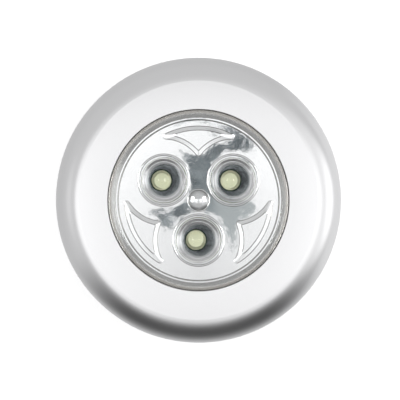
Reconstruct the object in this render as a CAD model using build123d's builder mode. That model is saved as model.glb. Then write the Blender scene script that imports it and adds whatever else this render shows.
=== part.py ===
from build123d import *

import os
from math import ceil, cos, pi, radians, sin, sqrt, tan

os.makedirs("parts", exist_ok=True)

# A stick-on push light, lying on its back. Z is the optical axis and points out of the lens.
# The origin is the centre of the adhesive pad's rear face. All lengths are in millimetres.

# Housing, outside
shoulder_radius = 6.4
face_crown_angle = 2.5
side_draft = 1.4
wall = 1.8
hole_gap = 0.2
hole_edge_round = 0.15
overrun = 1.0

# Adhesive pad and back cover
pad_thickness = 1.0
pad_recess = 0.4
pad_gap = 0.3
pad_edge_round = 0.2
cover_thickness = 1.6
cover_gap = 0.4
cover_edge_round = 0.3
skirt_wall = 1.0
skirt_lip = 0.2

# Bayonet that holds the back cover
bayonet_count = 4
lug_reach = 1.1
lug_span = 20.0
lug_thickness = 1.0
lug_gap = 0.2
ledge_span = 24.0
ledge_thickness = 1.2
ledge_rise = 0.5
ledge_gap = 0.3
bayonet_play = 0.45
lug_stop_span = 2.5
lug_stop_gap_span = 0.6
lug_stop_height = 1.2

# Finger grips in the cover
grip_to_edge = 3.2
grip_to_pad = 2.3
grip_width = 3.6
grip_depth = 0.8
grip_span = 36.0
grip_rib_count = 5
grip_rib_span = 1.6
grip_rib_pitch = 6.0

# AAA cells
cell_radius = 5.25
cell_length = 44.5
cell_nub_radius = 1.9
cell_nub_height = 1.0
cell_edge_round = 0.5
cell_to_cell_gap = 0.2
cell_to_cover_gap = 0.4
cell_to_wall_gap = 0.2
contact_gap = 0.05

# Battery tray
tray_wall = 1.0
tray_roof = 1.2
tray_corner = 1.6
tray_corner_margin = 1.38
tray_screw_margin = 0.8
tray_to_ledge_gap = 0.25
tray_to_cover_gap = 0.3
cradle_width = 0.8
cradle_depth = 2.4
cradle_length_share = 0.8
standoff_radius = 2.2

# Contacts and their conical springs
contact_plate = 0.4
contact_height = 7.6
contact_side = 3.7
contact_dimple = 0.6
contact_dimple_radius = 1.8
contact_dimple_taper = 35.0
contact_corner = 0.8
coil_wire = 0.6
coil_length = 3.4
coil_tip_radius = 2.0
coil_turns = 3
tab_width = 2.5
tab_rise = 1.2
tab_slot_gap = 0.3

# Screws
tray_screw_angles = (30.0, 150.0, 210.0, 330.0)
tray_screw_radius = 0.95
tray_screw_length = 6.5
tray_head_radius = 1.9
tray_head_height = 1.3
board_screw_to_edge = 2.3
board_screw_radius = 0.8
board_screw_length = 2.9
board_head_radius = 1.7
board_head_height = 1.1
screw_gap = 0.05
screw_tip_gap = 0.5
screw_hole_gap = 0.25
head_round = 0.5
head_round_most_share = 0.8
screw_point_share = 0.4
recess_width = 0.45
recess_length_share = 0.62
recess_depth_share = 0.55
boss_radius = 2.9
boss_merge = 0.2
boss_sink_share = 0.2

# LED board
board_radius = 18.5
board_thickness = 1.2
lead_hole_radius = 0.45

# 5 mm LEDs
led_count = 3
first_led_angle = 30.0
led_lean = 0.65
led_radius = 2.5
led_height = 8.6
led_flange_reach = 0.4
led_flange_height = 1.0
led_flat_reach = 0.05
lead_side = 0.45
lead_spacing = 2.54
lead_tail = 0.8
lead_tail_gap = 0.2
anvil_width = 2.4
anvil_height = 1.5
anvil_top_below_dome = 4.7
cup_wall = 0.15
phosphor_radius = 0.8
phosphor_depth = 0.5
phosphor_bulge = 0.3
phosphor_taper = 30.0

# Resistors
resistor_to_edge = 5.0
first_resistor_angle = 0.0
resistor_length = 3.2
resistor_width = 1.6
resistor_height = 0.6
resistor_chamfer_share = 0.2

# Push switch
switch_side = 5.8
switch_floor = 0.4
switch_to_cup_gap = 1.05
switch_edge_round = 0.3
plunger_radius = 1.3
plunger_floor_gap = 0.2
plunger_cap_radius = 2.4
plunger_cap_height = 0.6
plunger_round_share = 0.4
plunger_fit = 0.06
switch_spring_wire = 0.4
switch_spring_gap = 0.35
switch_spring_length = 2.6
switch_spring_turns = 2.25
spring_end_gap = 0.05
pin_rows_apart = 4.5
pin_pitch = 2.0
pin_side = 0.5
pin_tail = 0.7

# Push head: the lens and the reflector that is clipped into it
push_travel = 1.2
led_to_lens_gap = 0.3
lens_thickness = 1.6
lens_proud = 1.0
lens_edge_round = 0.8
lens_skirt_wall = 0.55
lens_skirt_length = 4.8
lens_flange_reach = 1.6
lens_flange_thickness = 1.2
lens_flange_gap = 0.1
clip_count = 6
clip_span = 12.0
clip_reach = 0.4
clip_height = 0.55
seat_gap = 0.05

# Guide collar in the housing, with its keys and down stops
collar_gap = 0.3
collar_wall = 1.4
collar_to_wire_gap = 1.1
guide_count = 3
first_key_angle = 60.0
first_stop_angle = 0.0
key_width = 1.6
key_reach = 1.1
key_gap = 0.3
stop_width = 4.0
stop_reach = 1.5
stop_height = 3.0
stop_gap = 0.1

# Reflector
reflector_drop = 1.0
reflector_thickness = 1.0
reflector_gap = 0.1
rim_foot_run = 0.35
rim_foot_rise = 0.25
rim_ledge = 0.35
rim_slope_run = 1.05
rim_slope_rise = 0.65
rim_land = 0.1
cup_depth = 1.6
cup_floor_land = 0.4
cup_mouth_radius = 6.1
cup_to_rim = 3.2
cup_step_reach = 0.12
cup_step_run_shares = (0.38, 0.33, 0.29)
cup_step_rise_shares = (0.28, 0.34, 0.38)
cup_bead_radius = 0.28
cup_hole_gap = 0.3
wing_to_rim_gap = 1.65
wing_to_cup_gap = 4.1
wing_wedge_share = 0.83
wing_lip_run = 0.18
wing_lip_rise = 0.12
wing_bevel_run = 0.85
wing_bevel_rise = 0.16
wing_step_run = 0.2
wing_step_rise = 0.14
wing_tip_round = 0.7
wing_tip_inner_share = 0.4
button_ring_radius = 2.75
button_bead_radius = 0.2
button_dome_height = 0.75
plunger_boss_radius = 1.9
plunger_boss_length = 1.0
plunger_boss_gap = 0.1

# Leads between the contacts and the board
wire_radius = 0.5
wire_bend = 0.7
wire_solder_gap = 0.2
wire_pad_to_edge = 1.3
wire_pad_angle = 117.8

# Heights, stacked up from the wall
cover_z = pad_thickness - pad_recess
cover_top = cover_z + cover_thickness
ledge_z = cover_top + ledge_rise
ledge_top = ledge_z + ledge_thickness
lug_z = ledge_top + lug_gap
skirt_top = lug_z + lug_thickness + skirt_lip
cell_axis_z = cover_top + cell_to_cover_gap + cell_radius
tray_z = cover_top + tray_to_cover_gap
roof_z = cell_axis_z + cell_radius + cell_to_wall_gap
roof_top = roof_z + tray_roof
board_z = roof_top + lead_tail + lead_tail_gap
board_top = board_z + board_thickness
wire_z = board_top + wire_bend
led_top = board_top + led_height
lens_under = led_top + push_travel + led_to_lens_gap
lens_top = lens_under + lens_thickness
face_z = lens_top - lens_proud
face_under = face_z - wall
collar_z = wire_z + wire_radius + collar_to_wire_gap
flange_top = face_under - lens_flange_gap
flange_z = flange_top - lens_flange_thickness
skirt_z = lens_under - lens_skirt_length
reflector_face = lens_under - reflector_drop
reflector_under = reflector_face - reflector_thickness
cup_floor = reflector_face - cup_depth
boss_z = reflector_under - plunger_boss_length
plunger_top = boss_z - plunger_boss_gap
plunger_cap_z = plunger_top - plunger_cap_height
switch_top = plunger_cap_z - switch_spring_length
plunger_z = board_top + switch_floor + push_travel + plunger_floor_gap

# LEDs in their cups, which stand clear of the switch
led_flange_radius = led_radius + led_flange_reach
cup_hole_radius = led_radius + cup_hole_gap
cup_floor_radius = led_lean + cup_hole_radius + cup_floor_land
cup_foot_radius = cup_floor_radius + reflector_thickness
cup_head_radius = cup_mouth_radius + reflector_thickness
led_pitch_radius = switch_side / sqrt(2) + switch_to_cup_gap + cup_foot_radius
led_angles = [first_led_angle + 360 / led_count * n for n in range(led_count)]
wing_angles = [angle + 180 / led_count for angle in led_angles]
board_screw_pitch_radius = board_radius - board_screw_to_edge - board_head_radius

# The push head, from the cups out to the collar that guides it and the bosses beside that
reflector_inner = led_pitch_radius + cup_head_radius + cup_to_rim
reflector_radius = reflector_inner + rim_ledge + rim_slope_run + rim_land
skirt_bore = reflector_radius + reflector_gap
lens_radius = skirt_bore + lens_skirt_wall
hole_radius = lens_radius + hole_gap
flange_radius = lens_radius + lens_flange_reach
collar_radius = flange_radius + collar_gap
tray_screw_pitch_radius = collar_radius + collar_wall + boss_radius - boss_merge

# The bay round the cells, and the tray that has to take both its corners and its screws
cell_spacing = 2 * cell_radius + cell_to_cell_gap
bay_width = 2 * cell_spacing + 2 * cell_radius + 2 * cell_to_wall_gap
bay_length = cell_length + contact_dimple + 2 * contact_plate + coil_length + 3 * contact_gap
plate_y = bay_length / 2 - contact_gap - contact_plate
corner_middle = Vector(bay_width / 2 - tray_corner, bay_length / 2 - tray_corner)
bay_reach = corner_middle.length + tray_corner + tray_wall
tray_radius = max(
    bay_reach + tray_corner_margin,
    tray_screw_pitch_radius + tray_head_radius + tray_screw_margin,
)

# The housing and its cover, from the tray outwards
ledge_radius = tray_radius + tray_to_ledge_gap
skirt_radius = ledge_radius - ledge_gap
lug_radius = skirt_radius + lug_reach
opening_radius = lug_radius + bayonet_play
rim_radius = opening_radius + wall
body_radius = rim_radius + side_draft
flat_radius = body_radius - shoulder_radius
crown_radius = flat_radius + shoulder_radius * sin(radians(face_crown_angle))
crown_drop = (crown_radius - hole_radius) * tan(radians(face_crown_angle / 2))
crown_z = face_z - crown_drop
shoulder_z = crown_z - shoulder_radius * cos(radians(face_crown_angle))
cover_radius = opening_radius - cover_gap
grip_outer = cover_radius - grip_to_edge
grip_inner = grip_outer - grip_width
pad_radius = grip_inner - grip_to_pad - pad_gap


def polar(radius, angle):
    """The point at a radius and an angle in degrees."""
    return (radius * cos(radians(angle)), radius * sin(radians(angle)))


def ring_stretch(inner, outer, middle, span):
    """Draws a stretch of a ring, centred on the angle middle, into the open sketch."""
    with BuildLine() as outline:
        near = CenterArc((0, 0), inner, middle - span / 2, span)
        far = CenterArc((0, 0), outer, middle - span / 2, span)
        Line(near @ 0, far @ 0)
        Line(near @ 1, far @ 1)
    make_face(outline.edges())


def coil_point(base, along, side, share, turns, radii, length):
    """A point of a tapering coil and its direction there, share of the way along it."""
    other = along.cross(side)
    turn = 2 * pi * turns * share
    radius = radii[0] + (radii[1] - radii[0]) * share
    out = side * cos(turn) + other * sin(turn)
    round_it = other * cos(turn) - side * sin(turn)
    point = base + along * length * share + out * radius
    heading = round_it * radius * 2 * pi * turns + out * (radii[1] - radii[0]) + along * length
    return point, heading.normalized()


def coil_path(base, along, side, turns, radii, length):
    """One smooth line of arcs round a coil, two arcs to each quarter turn."""
    quarters = ceil(4 * turns)
    stops = [
        coil_point(base, along, side, n / quarters, turns, radii, length) for n in range(quarters + 1)
    ]
    with BuildLine() as path:
        for (start, heading), (end, end_heading) in zip(stops, stops[1:]):
            gap = end - start
            lean = gap.dot(heading + end_heading)
            spread = 2 * (1 - heading.dot(end_heading))
            reach = (sqrt(lean**2 + spread * gap.dot(gap)) - lean) / spread
            middle = (start + end + (heading - end_heading) * reach) / 2
            first = TangentArc(start, middle, tangent=heading)
            TangentArc(middle, end, tangent=first % 1)
    return path.wires()[0]


def least_coil_gap(turns, radii, length, wire):
    """The least gap between neighbouring turns of a coil, measured on points along it."""
    samples = ceil(48 * turns)
    base, along, side = Vector(0, 0, 0), Vector(0, 0, 1), Vector(1, 0, 0)
    points = [
        coil_point(base, along, side, n / samples, turns, radii, length)[0] for n in range(samples + 1)
    ]
    apart = samples / turns / 2
    pairs = [
        (a - b).length
        for i, a in enumerate(points)
        for j, b in enumerate(points)
        if j - i > apart
    ]
    return min(pairs) - wire


def pan_screw(shaft_radius, length, head_radius, head_height):
    """A pan head screw pointing up, with the seat of its head at the origin."""
    with BuildPart() as screw:
        with BuildSketch(Plane.XZ):
            with BuildLine():
                Polyline(
                    (0, length),
                    (shaft_radius * screw_point_share, length),
                    (shaft_radius, length - shaft_radius),
                    (shaft_radius, 0),
                    (head_radius, 0),
                    (head_radius, -head_height),
                    (0, -head_height),
                    close=True,
                )
            make_face()
        revolve(axis=Axis.Z)
        head_edge = screw.edges().filter_by(GeomType.CIRCLE).group_by(Axis.Z)[0]
        fillet(head_edge, radius=min(head_round, head_height * head_round_most_share))
        with BuildSketch(Plane.XY.offset(-head_height)):
            Rectangle(2 * head_radius * recess_length_share, recess_width)
            Rectangle(recess_width, 2 * head_radius * recess_length_share)
        extrude(amount=head_height * recess_depth_share, mode=Mode.SUBTRACT)
    return screw.part


# Housing: the silver dome, moulded in one piece with its guide collar, bosses and bayonet ledges
root_radius = opening_radius + wall / 2
tray_screw_places = [polar(tray_screw_pitch_radius, angle) for angle in tray_screw_angles]
with BuildPart() as housing:
    with BuildSketch(Plane.XZ):
        with BuildLine():
            TangentArc((hole_radius, face_z), (crown_radius, crown_z), tangent=(1, 0))
            CenterArc((flat_radius, shoulder_z), shoulder_radius, 0, 90 - face_crown_angle)
            TangentArc((body_radius, shoulder_z), (rim_radius, cover_z), tangent=(0, -1))
            Line((rim_radius, cover_z), (opening_radius, cover_z))
            TangentArc(
                (body_radius - wall, shoulder_z),
                (opening_radius, cover_z),
                tangent=(0, -1),
            )
            CenterArc((flat_radius, shoulder_z), shoulder_radius - wall, 0, 90)
            Polyline(
                (flat_radius, shoulder_z + shoulder_radius - wall),
                (collar_radius + collar_wall, face_under),
                (hole_radius, face_under),
                (hole_radius, face_z),
            )
        make_face()
    revolve(axis=Axis.Z)
    hole_edge = housing.edges().filter_by(GeomType.CIRCLE).group_by(Axis.Z)[-1]
    fillet(hole_edge.sort_by(SortBy.RADIUS)[0], radius=hole_edge_round)
    with BuildSketch(Plane.XY.offset(collar_z)):
        Circle(collar_radius + collar_wall)
        Circle(collar_radius, mode=Mode.SUBTRACT)
    extrude(amount=face_under - collar_z)
    with BuildSketch(Plane.XY.offset(collar_z)):
        key_pitch_radius = collar_radius + collar_wall / 2 - key_reach / 2
        with PolarLocations(key_pitch_radius, guide_count, start_angle=first_key_angle):
            Rectangle(key_reach + collar_wall, key_width)
    extrude(amount=face_under - collar_z)
    with BuildSketch(Plane.XY.offset(flange_z - push_travel - stop_gap - stop_height)):
        stop_pitch_radius = collar_radius + collar_wall / 2 - stop_reach / 2
        with PolarLocations(stop_pitch_radius, guide_count, start_angle=first_stop_angle):
            Rectangle(stop_reach + collar_wall, stop_width)
    extrude(amount=stop_height)
    with BuildSketch(Plane.XY.offset(roof_top)):
        with Locations(tray_screw_places):
            Circle(boss_radius)
    extrude(amount=face_under + wall * boss_sink_share - roof_top)
    with BuildSketch(Plane.XY.offset(roof_top)):
        with Locations(tray_screw_places):
            Circle(tray_screw_radius + screw_gap)
    extrude(amount=tray_screw_length - tray_roof + screw_tip_gap, mode=Mode.SUBTRACT)
    with BuildSketch(Plane.XY.offset(ledge_z)):
        for n in range(bayonet_count):
            ring_stretch(ledge_radius, root_radius, 360 / bayonet_count * n, ledge_span)
    extrude(amount=ledge_thickness)
    stop_shift = lug_span / 2 + lug_stop_gap_span + lug_stop_span / 2
    with BuildSketch(Plane.XY.offset(ledge_z)):
        for n in range(bayonet_count):
            stop_middle = 360 / bayonet_count * n + stop_shift
            ring_stretch(ledge_radius, root_radius, stop_middle, lug_stop_span)
    extrude(amount=ledge_thickness + lug_stop_height)
housing.part.label = "housing"
export_step(housing.part, "parts/housing.step")

# Back cover: a round lid with a bayonet skirt, a recess for the pad and two finger grips
with BuildPart() as back_cover:
    with BuildSketch(Plane.XY.offset(cover_z)):
        Circle(cover_radius)
    extrude(amount=cover_thickness)
    rear_edge = back_cover.edges().filter_by(GeomType.CIRCLE).group_by(Axis.Z)[0]
    fillet(rear_edge, radius=cover_edge_round)
    with BuildSketch(Plane.XY.offset(cover_top)):
        Circle(skirt_radius)
        Circle(skirt_radius - skirt_wall, mode=Mode.SUBTRACT)
    extrude(amount=skirt_top - cover_top)
    with BuildSketch(Plane.XY.offset(lug_z)):
        for n in range(bayonet_count):
            ring_stretch(skirt_radius - skirt_wall / 2, lug_radius, 360 / bayonet_count * n, lug_span)
    extrude(amount=lug_thickness)
    with BuildSketch(Plane.XY.offset(cover_z)):
        Circle(pad_radius + pad_gap)
    extrude(amount=pad_recess, mode=Mode.SUBTRACT)
    with BuildSketch(Plane.XY.offset(cover_z)):
        for side in (0, 180):
            ring_stretch(grip_inner, grip_outer, side, grip_span)
    extrude(amount=grip_depth, mode=Mode.SUBTRACT)
    with BuildSketch(Plane.XY.offset(cover_z)):
        for side in (0, 180):
            for n in range(grip_rib_count):
                rib_middle = side + (n - (grip_rib_count - 1) / 2) * grip_rib_pitch
                ring_stretch(grip_inner, grip_outer, rib_middle, grip_rib_span)
    extrude(amount=grip_depth)
back_cover.part.label = "back_cover"
export_step(back_cover.part, "parts/back_cover.step")

# Adhesive pad: a disc of double-sided foam tape that sits in the cover's recess
with BuildPart() as adhesive_pad:
    with BuildSketch(Plane.XY):
        Circle(pad_radius)
    extrude(amount=pad_thickness)
    pad_edge = adhesive_pad.edges().filter_by(GeomType.CIRCLE).group_by(Axis.Z)[-1]
    fillet(pad_edge, radius=pad_edge_round)
adhesive_pad.part.label = "adhesive_pad"
export_step(adhesive_pad.part, "parts/adhesive_pad.step")

# Battery tray: an open bay for three cells under a round roof, which carries the LED board
cradle_top = cell_axis_z + cell_radius - cradle_depth
tab_middle_y = plate_y + contact_plate / 2
with BuildPart() as battery_tray:
    with BuildSketch(Plane.XY.offset(roof_z)):
        Circle(tray_radius)
    extrude(amount=tray_roof)
    with BuildSketch(Plane.XY.offset(tray_z)):
        RectangleRounded(bay_width + 2 * tray_wall, bay_length + 2 * tray_wall, tray_corner + tray_wall)
        RectangleRounded(bay_width, bay_length, tray_corner, mode=Mode.SUBTRACT)
    extrude(amount=roof_z - tray_z)
    with BuildSketch(Plane.XY.offset(cradle_top)):
        with GridLocations(cell_spacing, 0, 2, 1):
            Rectangle(cradle_width, cell_length * cradle_length_share)
    extrude(amount=roof_z - cradle_top)
    with BuildSketch(Plane.XY.offset(roof_top)):
        with PolarLocations(board_screw_pitch_radius, led_count, start_angle=wing_angles[0]):
            Circle(standoff_radius)
    extrude(amount=board_z - roof_top)
    with BuildSketch(Plane.XY.offset(board_top - board_screw_length - screw_gap)):
        with PolarLocations(board_screw_pitch_radius, led_count, start_angle=wing_angles[0]):
            Circle(board_screw_radius + screw_gap)
    extrude(amount=board_screw_length, mode=Mode.SUBTRACT)
    with BuildSketch(Plane.XY.offset(roof_z)):
        with Locations(tray_screw_places):
            Circle(tray_screw_radius + screw_hole_gap)
    extrude(amount=tray_roof, mode=Mode.SUBTRACT)
    with BuildSketch(Plane.XY.offset(roof_z)):
        with Locations((-cell_spacing, tab_middle_y), (cell_spacing, -tab_middle_y)):
            Rectangle(tab_width + 2 * tab_slot_gap, contact_plate + 2 * contact_gap)
    extrude(amount=tray_roof, mode=Mode.SUBTRACT)
battery_tray.part.label = "battery_tray"
export_step(battery_tray.part, "parts/battery_tray.step")

# AAA cells, in series, so that the middle one lies the other way round
nub_tip_y = plate_y - contact_dimple - contact_gap
cell_ends = (1, -1, 1)
for number, end in enumerate(cell_ends, start=1):
    cell_x = (number - 2) * cell_spacing
    cell_plane = Plane(origin=(cell_x, 0, cell_axis_z), x_dir=(end, 0, 0), z_dir=(0, 0, 1))
    with BuildPart() as cell:
        with BuildSketch(cell_plane):
            with BuildLine():
                Polyline(
                    (0, nub_tip_y - cell_length),
                    (cell_radius, nub_tip_y - cell_length),
                    (cell_radius, nub_tip_y - cell_nub_height),
                    (cell_nub_radius, nub_tip_y - cell_nub_height),
                    (cell_nub_radius, nub_tip_y),
                    (0, nub_tip_y),
                    close=True,
                )
            make_face()
        revolve(axis=Axis((cell_x, 0, cell_axis_z), (0, 1, 0)))
        can_edges = cell.edges().filter_by(GeomType.CIRCLE)
        fillet(can_edges.group_by(SortBy.RADIUS)[-1], radius=cell_edge_round)
    cell.part.label = f"cell_{number}"
    export_step(cell.part, f"parts/cell_{number}.step")

# Contacts: sprung steel strips against the two ends of the bay, with solder tabs and coils
cell_rear_y = nub_tip_y - cell_length
coil_base_radius = contact_side - coil_wire / 2
coil_reach = cell_rear_y + plate_y - coil_wire / 2 - contact_gap


def contact_strip(x_middle, width, end):
    """Adds a flat strip at one end of the bay, end being 1 or -1, to the open part."""
    strip_plane = Plane(
        origin=(x_middle, end * plate_y, cell_axis_z), x_dir=(-end, 0, 0), z_dir=(0, end, 0)
    )
    with BuildSketch(strip_plane) as strip:
        RectangleRounded(width, contact_height, contact_corner)
    extrude(strip.sketch, amount=contact_plate, dir=(0, end, 0))


def contact_bump(x, end):
    """Adds the pressed dimple that meets a cell's nub to the open part."""
    bump_plane = Plane(origin=(x, end * plate_y, cell_axis_z), x_dir=(-end, 0, 0), z_dir=(0, end, 0))
    with BuildSketch(bump_plane) as bump:
        Circle(contact_dimple_radius)
    extrude(bump.sketch, amount=contact_dimple, dir=(0, -end, 0), taper=contact_dimple_taper)


def contact_coil(x, end):
    """Adds the conical spring that meets a cell's flat end to the open part."""
    path = coil_path(
        Vector(x, end * plate_y, cell_axis_z),
        Vector(0, -end, 0),
        Vector(0, 0, 1),
        coil_turns,
        (coil_base_radius, coil_tip_radius),
        coil_reach,
    )
    with BuildSketch(Plane(origin=path @ 0, z_dir=path % 0)) as wire_section:
        Circle(coil_wire / 2)
    sweep(wire_section.sketch, path=path)


def contact_tab(x, end):
    """Adds the solder tab that rises through the tray's roof to the open part."""
    tab_top = board_top + tab_rise
    tab_z = cell_axis_z + contact_height / 2 - contact_corner
    with BuildSketch(Plane.XY.offset(tab_z)) as tab:
        with Locations((x, end * tab_middle_y)):
            Rectangle(tab_width, contact_plate)
    extrude(tab.sketch, amount=tab_top - tab_z)


with BuildPart() as positive_contact:
    contact_strip(-cell_spacing, 2 * contact_side, 1)
    contact_bump(-cell_spacing, 1)
    contact_tab(-cell_spacing, 1)
positive_contact.part.label = "positive_contact"
export_step(positive_contact.part, "parts/positive_contact.step")

with BuildPart() as negative_contact:
    contact_strip(cell_spacing, 2 * contact_side, -1)
    contact_coil(cell_spacing, -1)
    contact_tab(cell_spacing, -1)
negative_contact.part.label = "negative_contact"
export_step(negative_contact.part, "parts/negative_contact.step")

with BuildPart() as bridge_contact_1:
    contact_strip(-cell_spacing / 2, cell_spacing + 2 * contact_side, -1)
    contact_coil(-cell_spacing, -1)
    contact_bump(0, -1)
bridge_contact_1.part.label = "bridge_contact_1"
export_step(bridge_contact_1.part, "parts/bridge_contact_1.step")

with BuildPart() as bridge_contact_2:
    contact_strip(cell_spacing / 2, cell_spacing + 2 * contact_side, 1)
    contact_coil(0, 1)
    contact_bump(cell_spacing, 1)
bridge_contact_2.part.label = "bridge_contact_2"
export_step(bridge_contact_2.part, "parts/bridge_contact_2.step")

# Screws: four hold the tray up to the housing's bosses, and three hold the board to the tray
tray_screw = pan_screw(tray_screw_radius, tray_screw_length, tray_head_radius, tray_head_height)
with BuildPart() as tray_screws:
    with Locations(tray_screw_places):
        add(tray_screw.moved(Location((0, 0, roof_z))))
tray_screws.part.label = "tray_screws"
export_step(tray_screws.part, "parts/tray_screws.step")

board_screw = pan_screw(board_screw_radius, board_screw_length, board_head_radius, board_head_height)
with BuildPart() as board_screws:
    with PolarLocations(board_screw_pitch_radius, led_count, start_angle=wing_angles[0]):
        add(board_screw.moved(Location((0, 0, board_top), (180, 0, 0))))
board_screws.part.label = "board_screws"
export_step(board_screws.part, "parts/board_screws.step")

# LED board: a round circuit board with holes for its screws, the leads and the switch's pins
led_places = [Vector(*polar(led_pitch_radius, angle)) - Vector(led_lean, 0) for angle in led_angles]
red_pad = Vector(*polar(board_radius - wire_pad_to_edge, wire_pad_angle))
with BuildPart() as led_board:
    with BuildSketch(Plane.XY.offset(board_z)):
        Circle(board_radius)
        with PolarLocations(board_screw_pitch_radius, led_count, start_angle=wing_angles[0]):
            Circle(board_screw_radius + screw_hole_gap, mode=Mode.SUBTRACT)
        for place in led_places:
            with Locations(place):
                with GridLocations(lead_spacing, 0, 2, 1):
                    Circle(lead_hole_radius, mode=Mode.SUBTRACT)
        with GridLocations(pin_rows_apart, pin_pitch, 2, 3):
            Circle(lead_hole_radius, mode=Mode.SUBTRACT)
    extrude(amount=board_thickness)
led_board.part.label = "led_board"
export_step(led_board.part, "parts/led_board.step")

# LEDs: the two steel leads with their anvil and post, the phosphor in the anvil's cup over the
# chip, and the clear epoxy that is cast round them
anvil_top = led_top - anvil_top_below_dome
anvil_z = anvil_top - anvil_height
lead_z = board_z - lead_tail
lead_outside = lead_spacing / 2 + lead_side / 2
for number, place in enumerate(led_places, start=1):
    with BuildPart() as led_phosphor:
        with BuildSketch(Plane.XY.offset(anvil_top)):
            with Locations(place):
                Circle(phosphor_radius)
        extrude(amount=-phosphor_depth, taper=phosphor_taper)
        with BuildSketch(Plane.XY.offset(anvil_top)):
            with Locations(place):
                Circle(phosphor_radius)
        extrude(amount=phosphor_bulge, taper=phosphor_taper)
    led_phosphor.part.label = f"led_phosphor_{number}"
    export_step(led_phosphor.part, f"parts/led_phosphor_{number}.step")

    with BuildPart() as led_leads:
        with BuildSketch(Plane.XY.offset(lead_z)):
            with Locations(place):
                with GridLocations(lead_spacing, 0, 2, 1):
                    Rectangle(lead_side, lead_side)
        extrude(amount=anvil_top - lead_z)
        with BuildSketch(Plane.XY.offset(anvil_z)):
            with Locations((place.X - lead_outside + anvil_width / 2, place.Y)):
                Rectangle(anvil_width, 2 * (phosphor_radius + cup_wall))
        extrude(amount=anvil_height)
        add(led_phosphor.part, mode=Mode.SUBTRACT)
    led_leads.part.label = f"led_leads_{number}"
    export_step(led_leads.part, f"parts/led_leads_{number}.step")

    with BuildPart() as led:
        with BuildSketch(Plane.XY.offset(board_top)):
            with Locations(place):
                Circle(led_flange_radius)
                with Locations((-led_radius - led_flat_reach - led_flange_radius, 0)):
                    Rectangle(2 * led_flange_radius, 2 * led_flange_radius, mode=Mode.SUBTRACT)
        extrude(amount=led_flange_height)
        with BuildSketch(Plane.XY.offset(board_top)):
            with Locations(place):
                Circle(led_radius)
        extrude(amount=led_height - led_radius)
        with Locations((place.X, place.Y, led_top - led_radius)):
            Sphere(led_radius)
        add(led_leads.part, mode=Mode.SUBTRACT)
        add(led_phosphor.part, mode=Mode.SUBTRACT)
    led.part.label = f"led_{number}"
    export_step(led.part, f"parts/led_{number}.step")

# Resistors: one small surface-mounted resistor for each LED
for number in range(1, led_count + 1):
    resistor_angle = first_resistor_angle + 360 / led_count * (number - 1)
    resistor_plane = Plane(
        origin=(*polar(board_radius - resistor_to_edge, resistor_angle), board_top),
        x_dir=(*polar(1, resistor_angle + 90), 0),
        z_dir=(0, 0, 1),
    )
    with BuildPart() as resistor:
        with BuildSketch(resistor_plane):
            Rectangle(resistor_length, resistor_width)
        extrude(amount=resistor_height)
        chamfer(resistor.edges().filter_by(Axis.Z), length=resistor_height * resistor_chamfer_share)
    resistor.part.label = f"resistor_{number}"
    export_step(resistor.part, f"parts/resistor_{number}.step")

# Leads: the red and black wires from the contacts' tabs to the board's pads
for name, sense in (("red", 1), ("black", -1)):
    wire_start = Vector(-sense * cell_spacing, sense * (plate_y - wire_solder_gap), wire_z)
    wire_end = Vector(sense * red_pad.X, sense * red_pad.Y, board_top)
    wire_run = Vector(wire_end.X - wire_start.X, wire_end.Y - wire_start.Y, 0)
    wire_way = wire_run.normalized()
    with BuildPart() as lead_wire:
        with BuildLine() as route:
            run = Line(wire_start, wire_start + wire_way * (wire_run.length - wire_bend))
            TangentArc(run @ 1, wire_end, tangent=run % 1)
        with BuildSketch(Plane(origin=wire_end, z_dir=(0, 0, -1))):
            Circle(wire_radius)
        sweep(path=route.wires()[0])
    lead_wire.part.label = f"wire_{name}"
    export_step(lead_wire.part, f"parts/wire_{name}.step")

# Switch: a latching push switch between the LEDs, with its pins, plunger and return spring
bore_z = board_top + switch_floor
bore_radius = plunger_radius + plunger_fit
with BuildPart() as switch_body:
    with BuildSketch(Plane.XY.offset(board_top)):
        Rectangle(switch_side, switch_side)
    extrude(amount=switch_top - board_top)
    fillet(switch_body.edges().filter_by(Axis.Z), radius=switch_edge_round)
    with BuildSketch(Plane.XY.offset(bore_z)):
        Circle(bore_radius)
    extrude(amount=switch_top - bore_z, mode=Mode.SUBTRACT)
switch_body.part.label = "switch_body"
export_step(switch_body.part, "parts/switch_body.step")

with BuildPart() as switch_terminals:
    with BuildSketch(Plane.XY.offset(board_z - pin_tail)):
        with GridLocations(pin_rows_apart, pin_pitch, 2, 3):
            Rectangle(pin_side, pin_side)
    extrude(amount=board_thickness + pin_tail)
switch_terminals.part.label = "switch_terminals"
export_step(switch_terminals.part, "parts/switch_terminals.step")

with BuildPart() as switch_plunger:
    with BuildSketch(Plane.XY.offset(plunger_z)):
        Circle(plunger_radius)
    extrude(amount=plunger_cap_z - plunger_z)
    with BuildSketch(Plane.XY.offset(plunger_cap_z)):
        Circle(plunger_cap_radius)
    extrude(amount=plunger_cap_height)
    cap_edges = switch_plunger.edges().filter_by(GeomType.CIRCLE).group_by(Axis.Z)[-1]
    fillet(cap_edges, radius=plunger_cap_height * plunger_round_share)
switch_plunger.part.label = "switch_plunger"
export_step(switch_plunger.part, "parts/switch_plunger.step")

switch_spring_radius = plunger_radius + switch_spring_gap + switch_spring_wire / 2
switch_spring_end = switch_spring_wire / 2 + spring_end_gap
switch_spring_rise = switch_spring_length - 2 * switch_spring_end
switch_spring_path = coil_path(
    Vector(0, 0, switch_top + switch_spring_end),
    Vector(0, 0, 1),
    Vector(1, 0, 0),
    switch_spring_turns,
    (switch_spring_radius, switch_spring_radius),
    switch_spring_rise,
)
with BuildPart() as switch_spring:
    with BuildSketch(Plane(origin=switch_spring_path @ 0, z_dir=switch_spring_path % 0)):
        Circle(switch_spring_wire / 2)
    sweep(path=switch_spring_path)
switch_spring.part.label = "switch_spring"
export_step(switch_spring.part, "parts/switch_spring.step")

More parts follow.
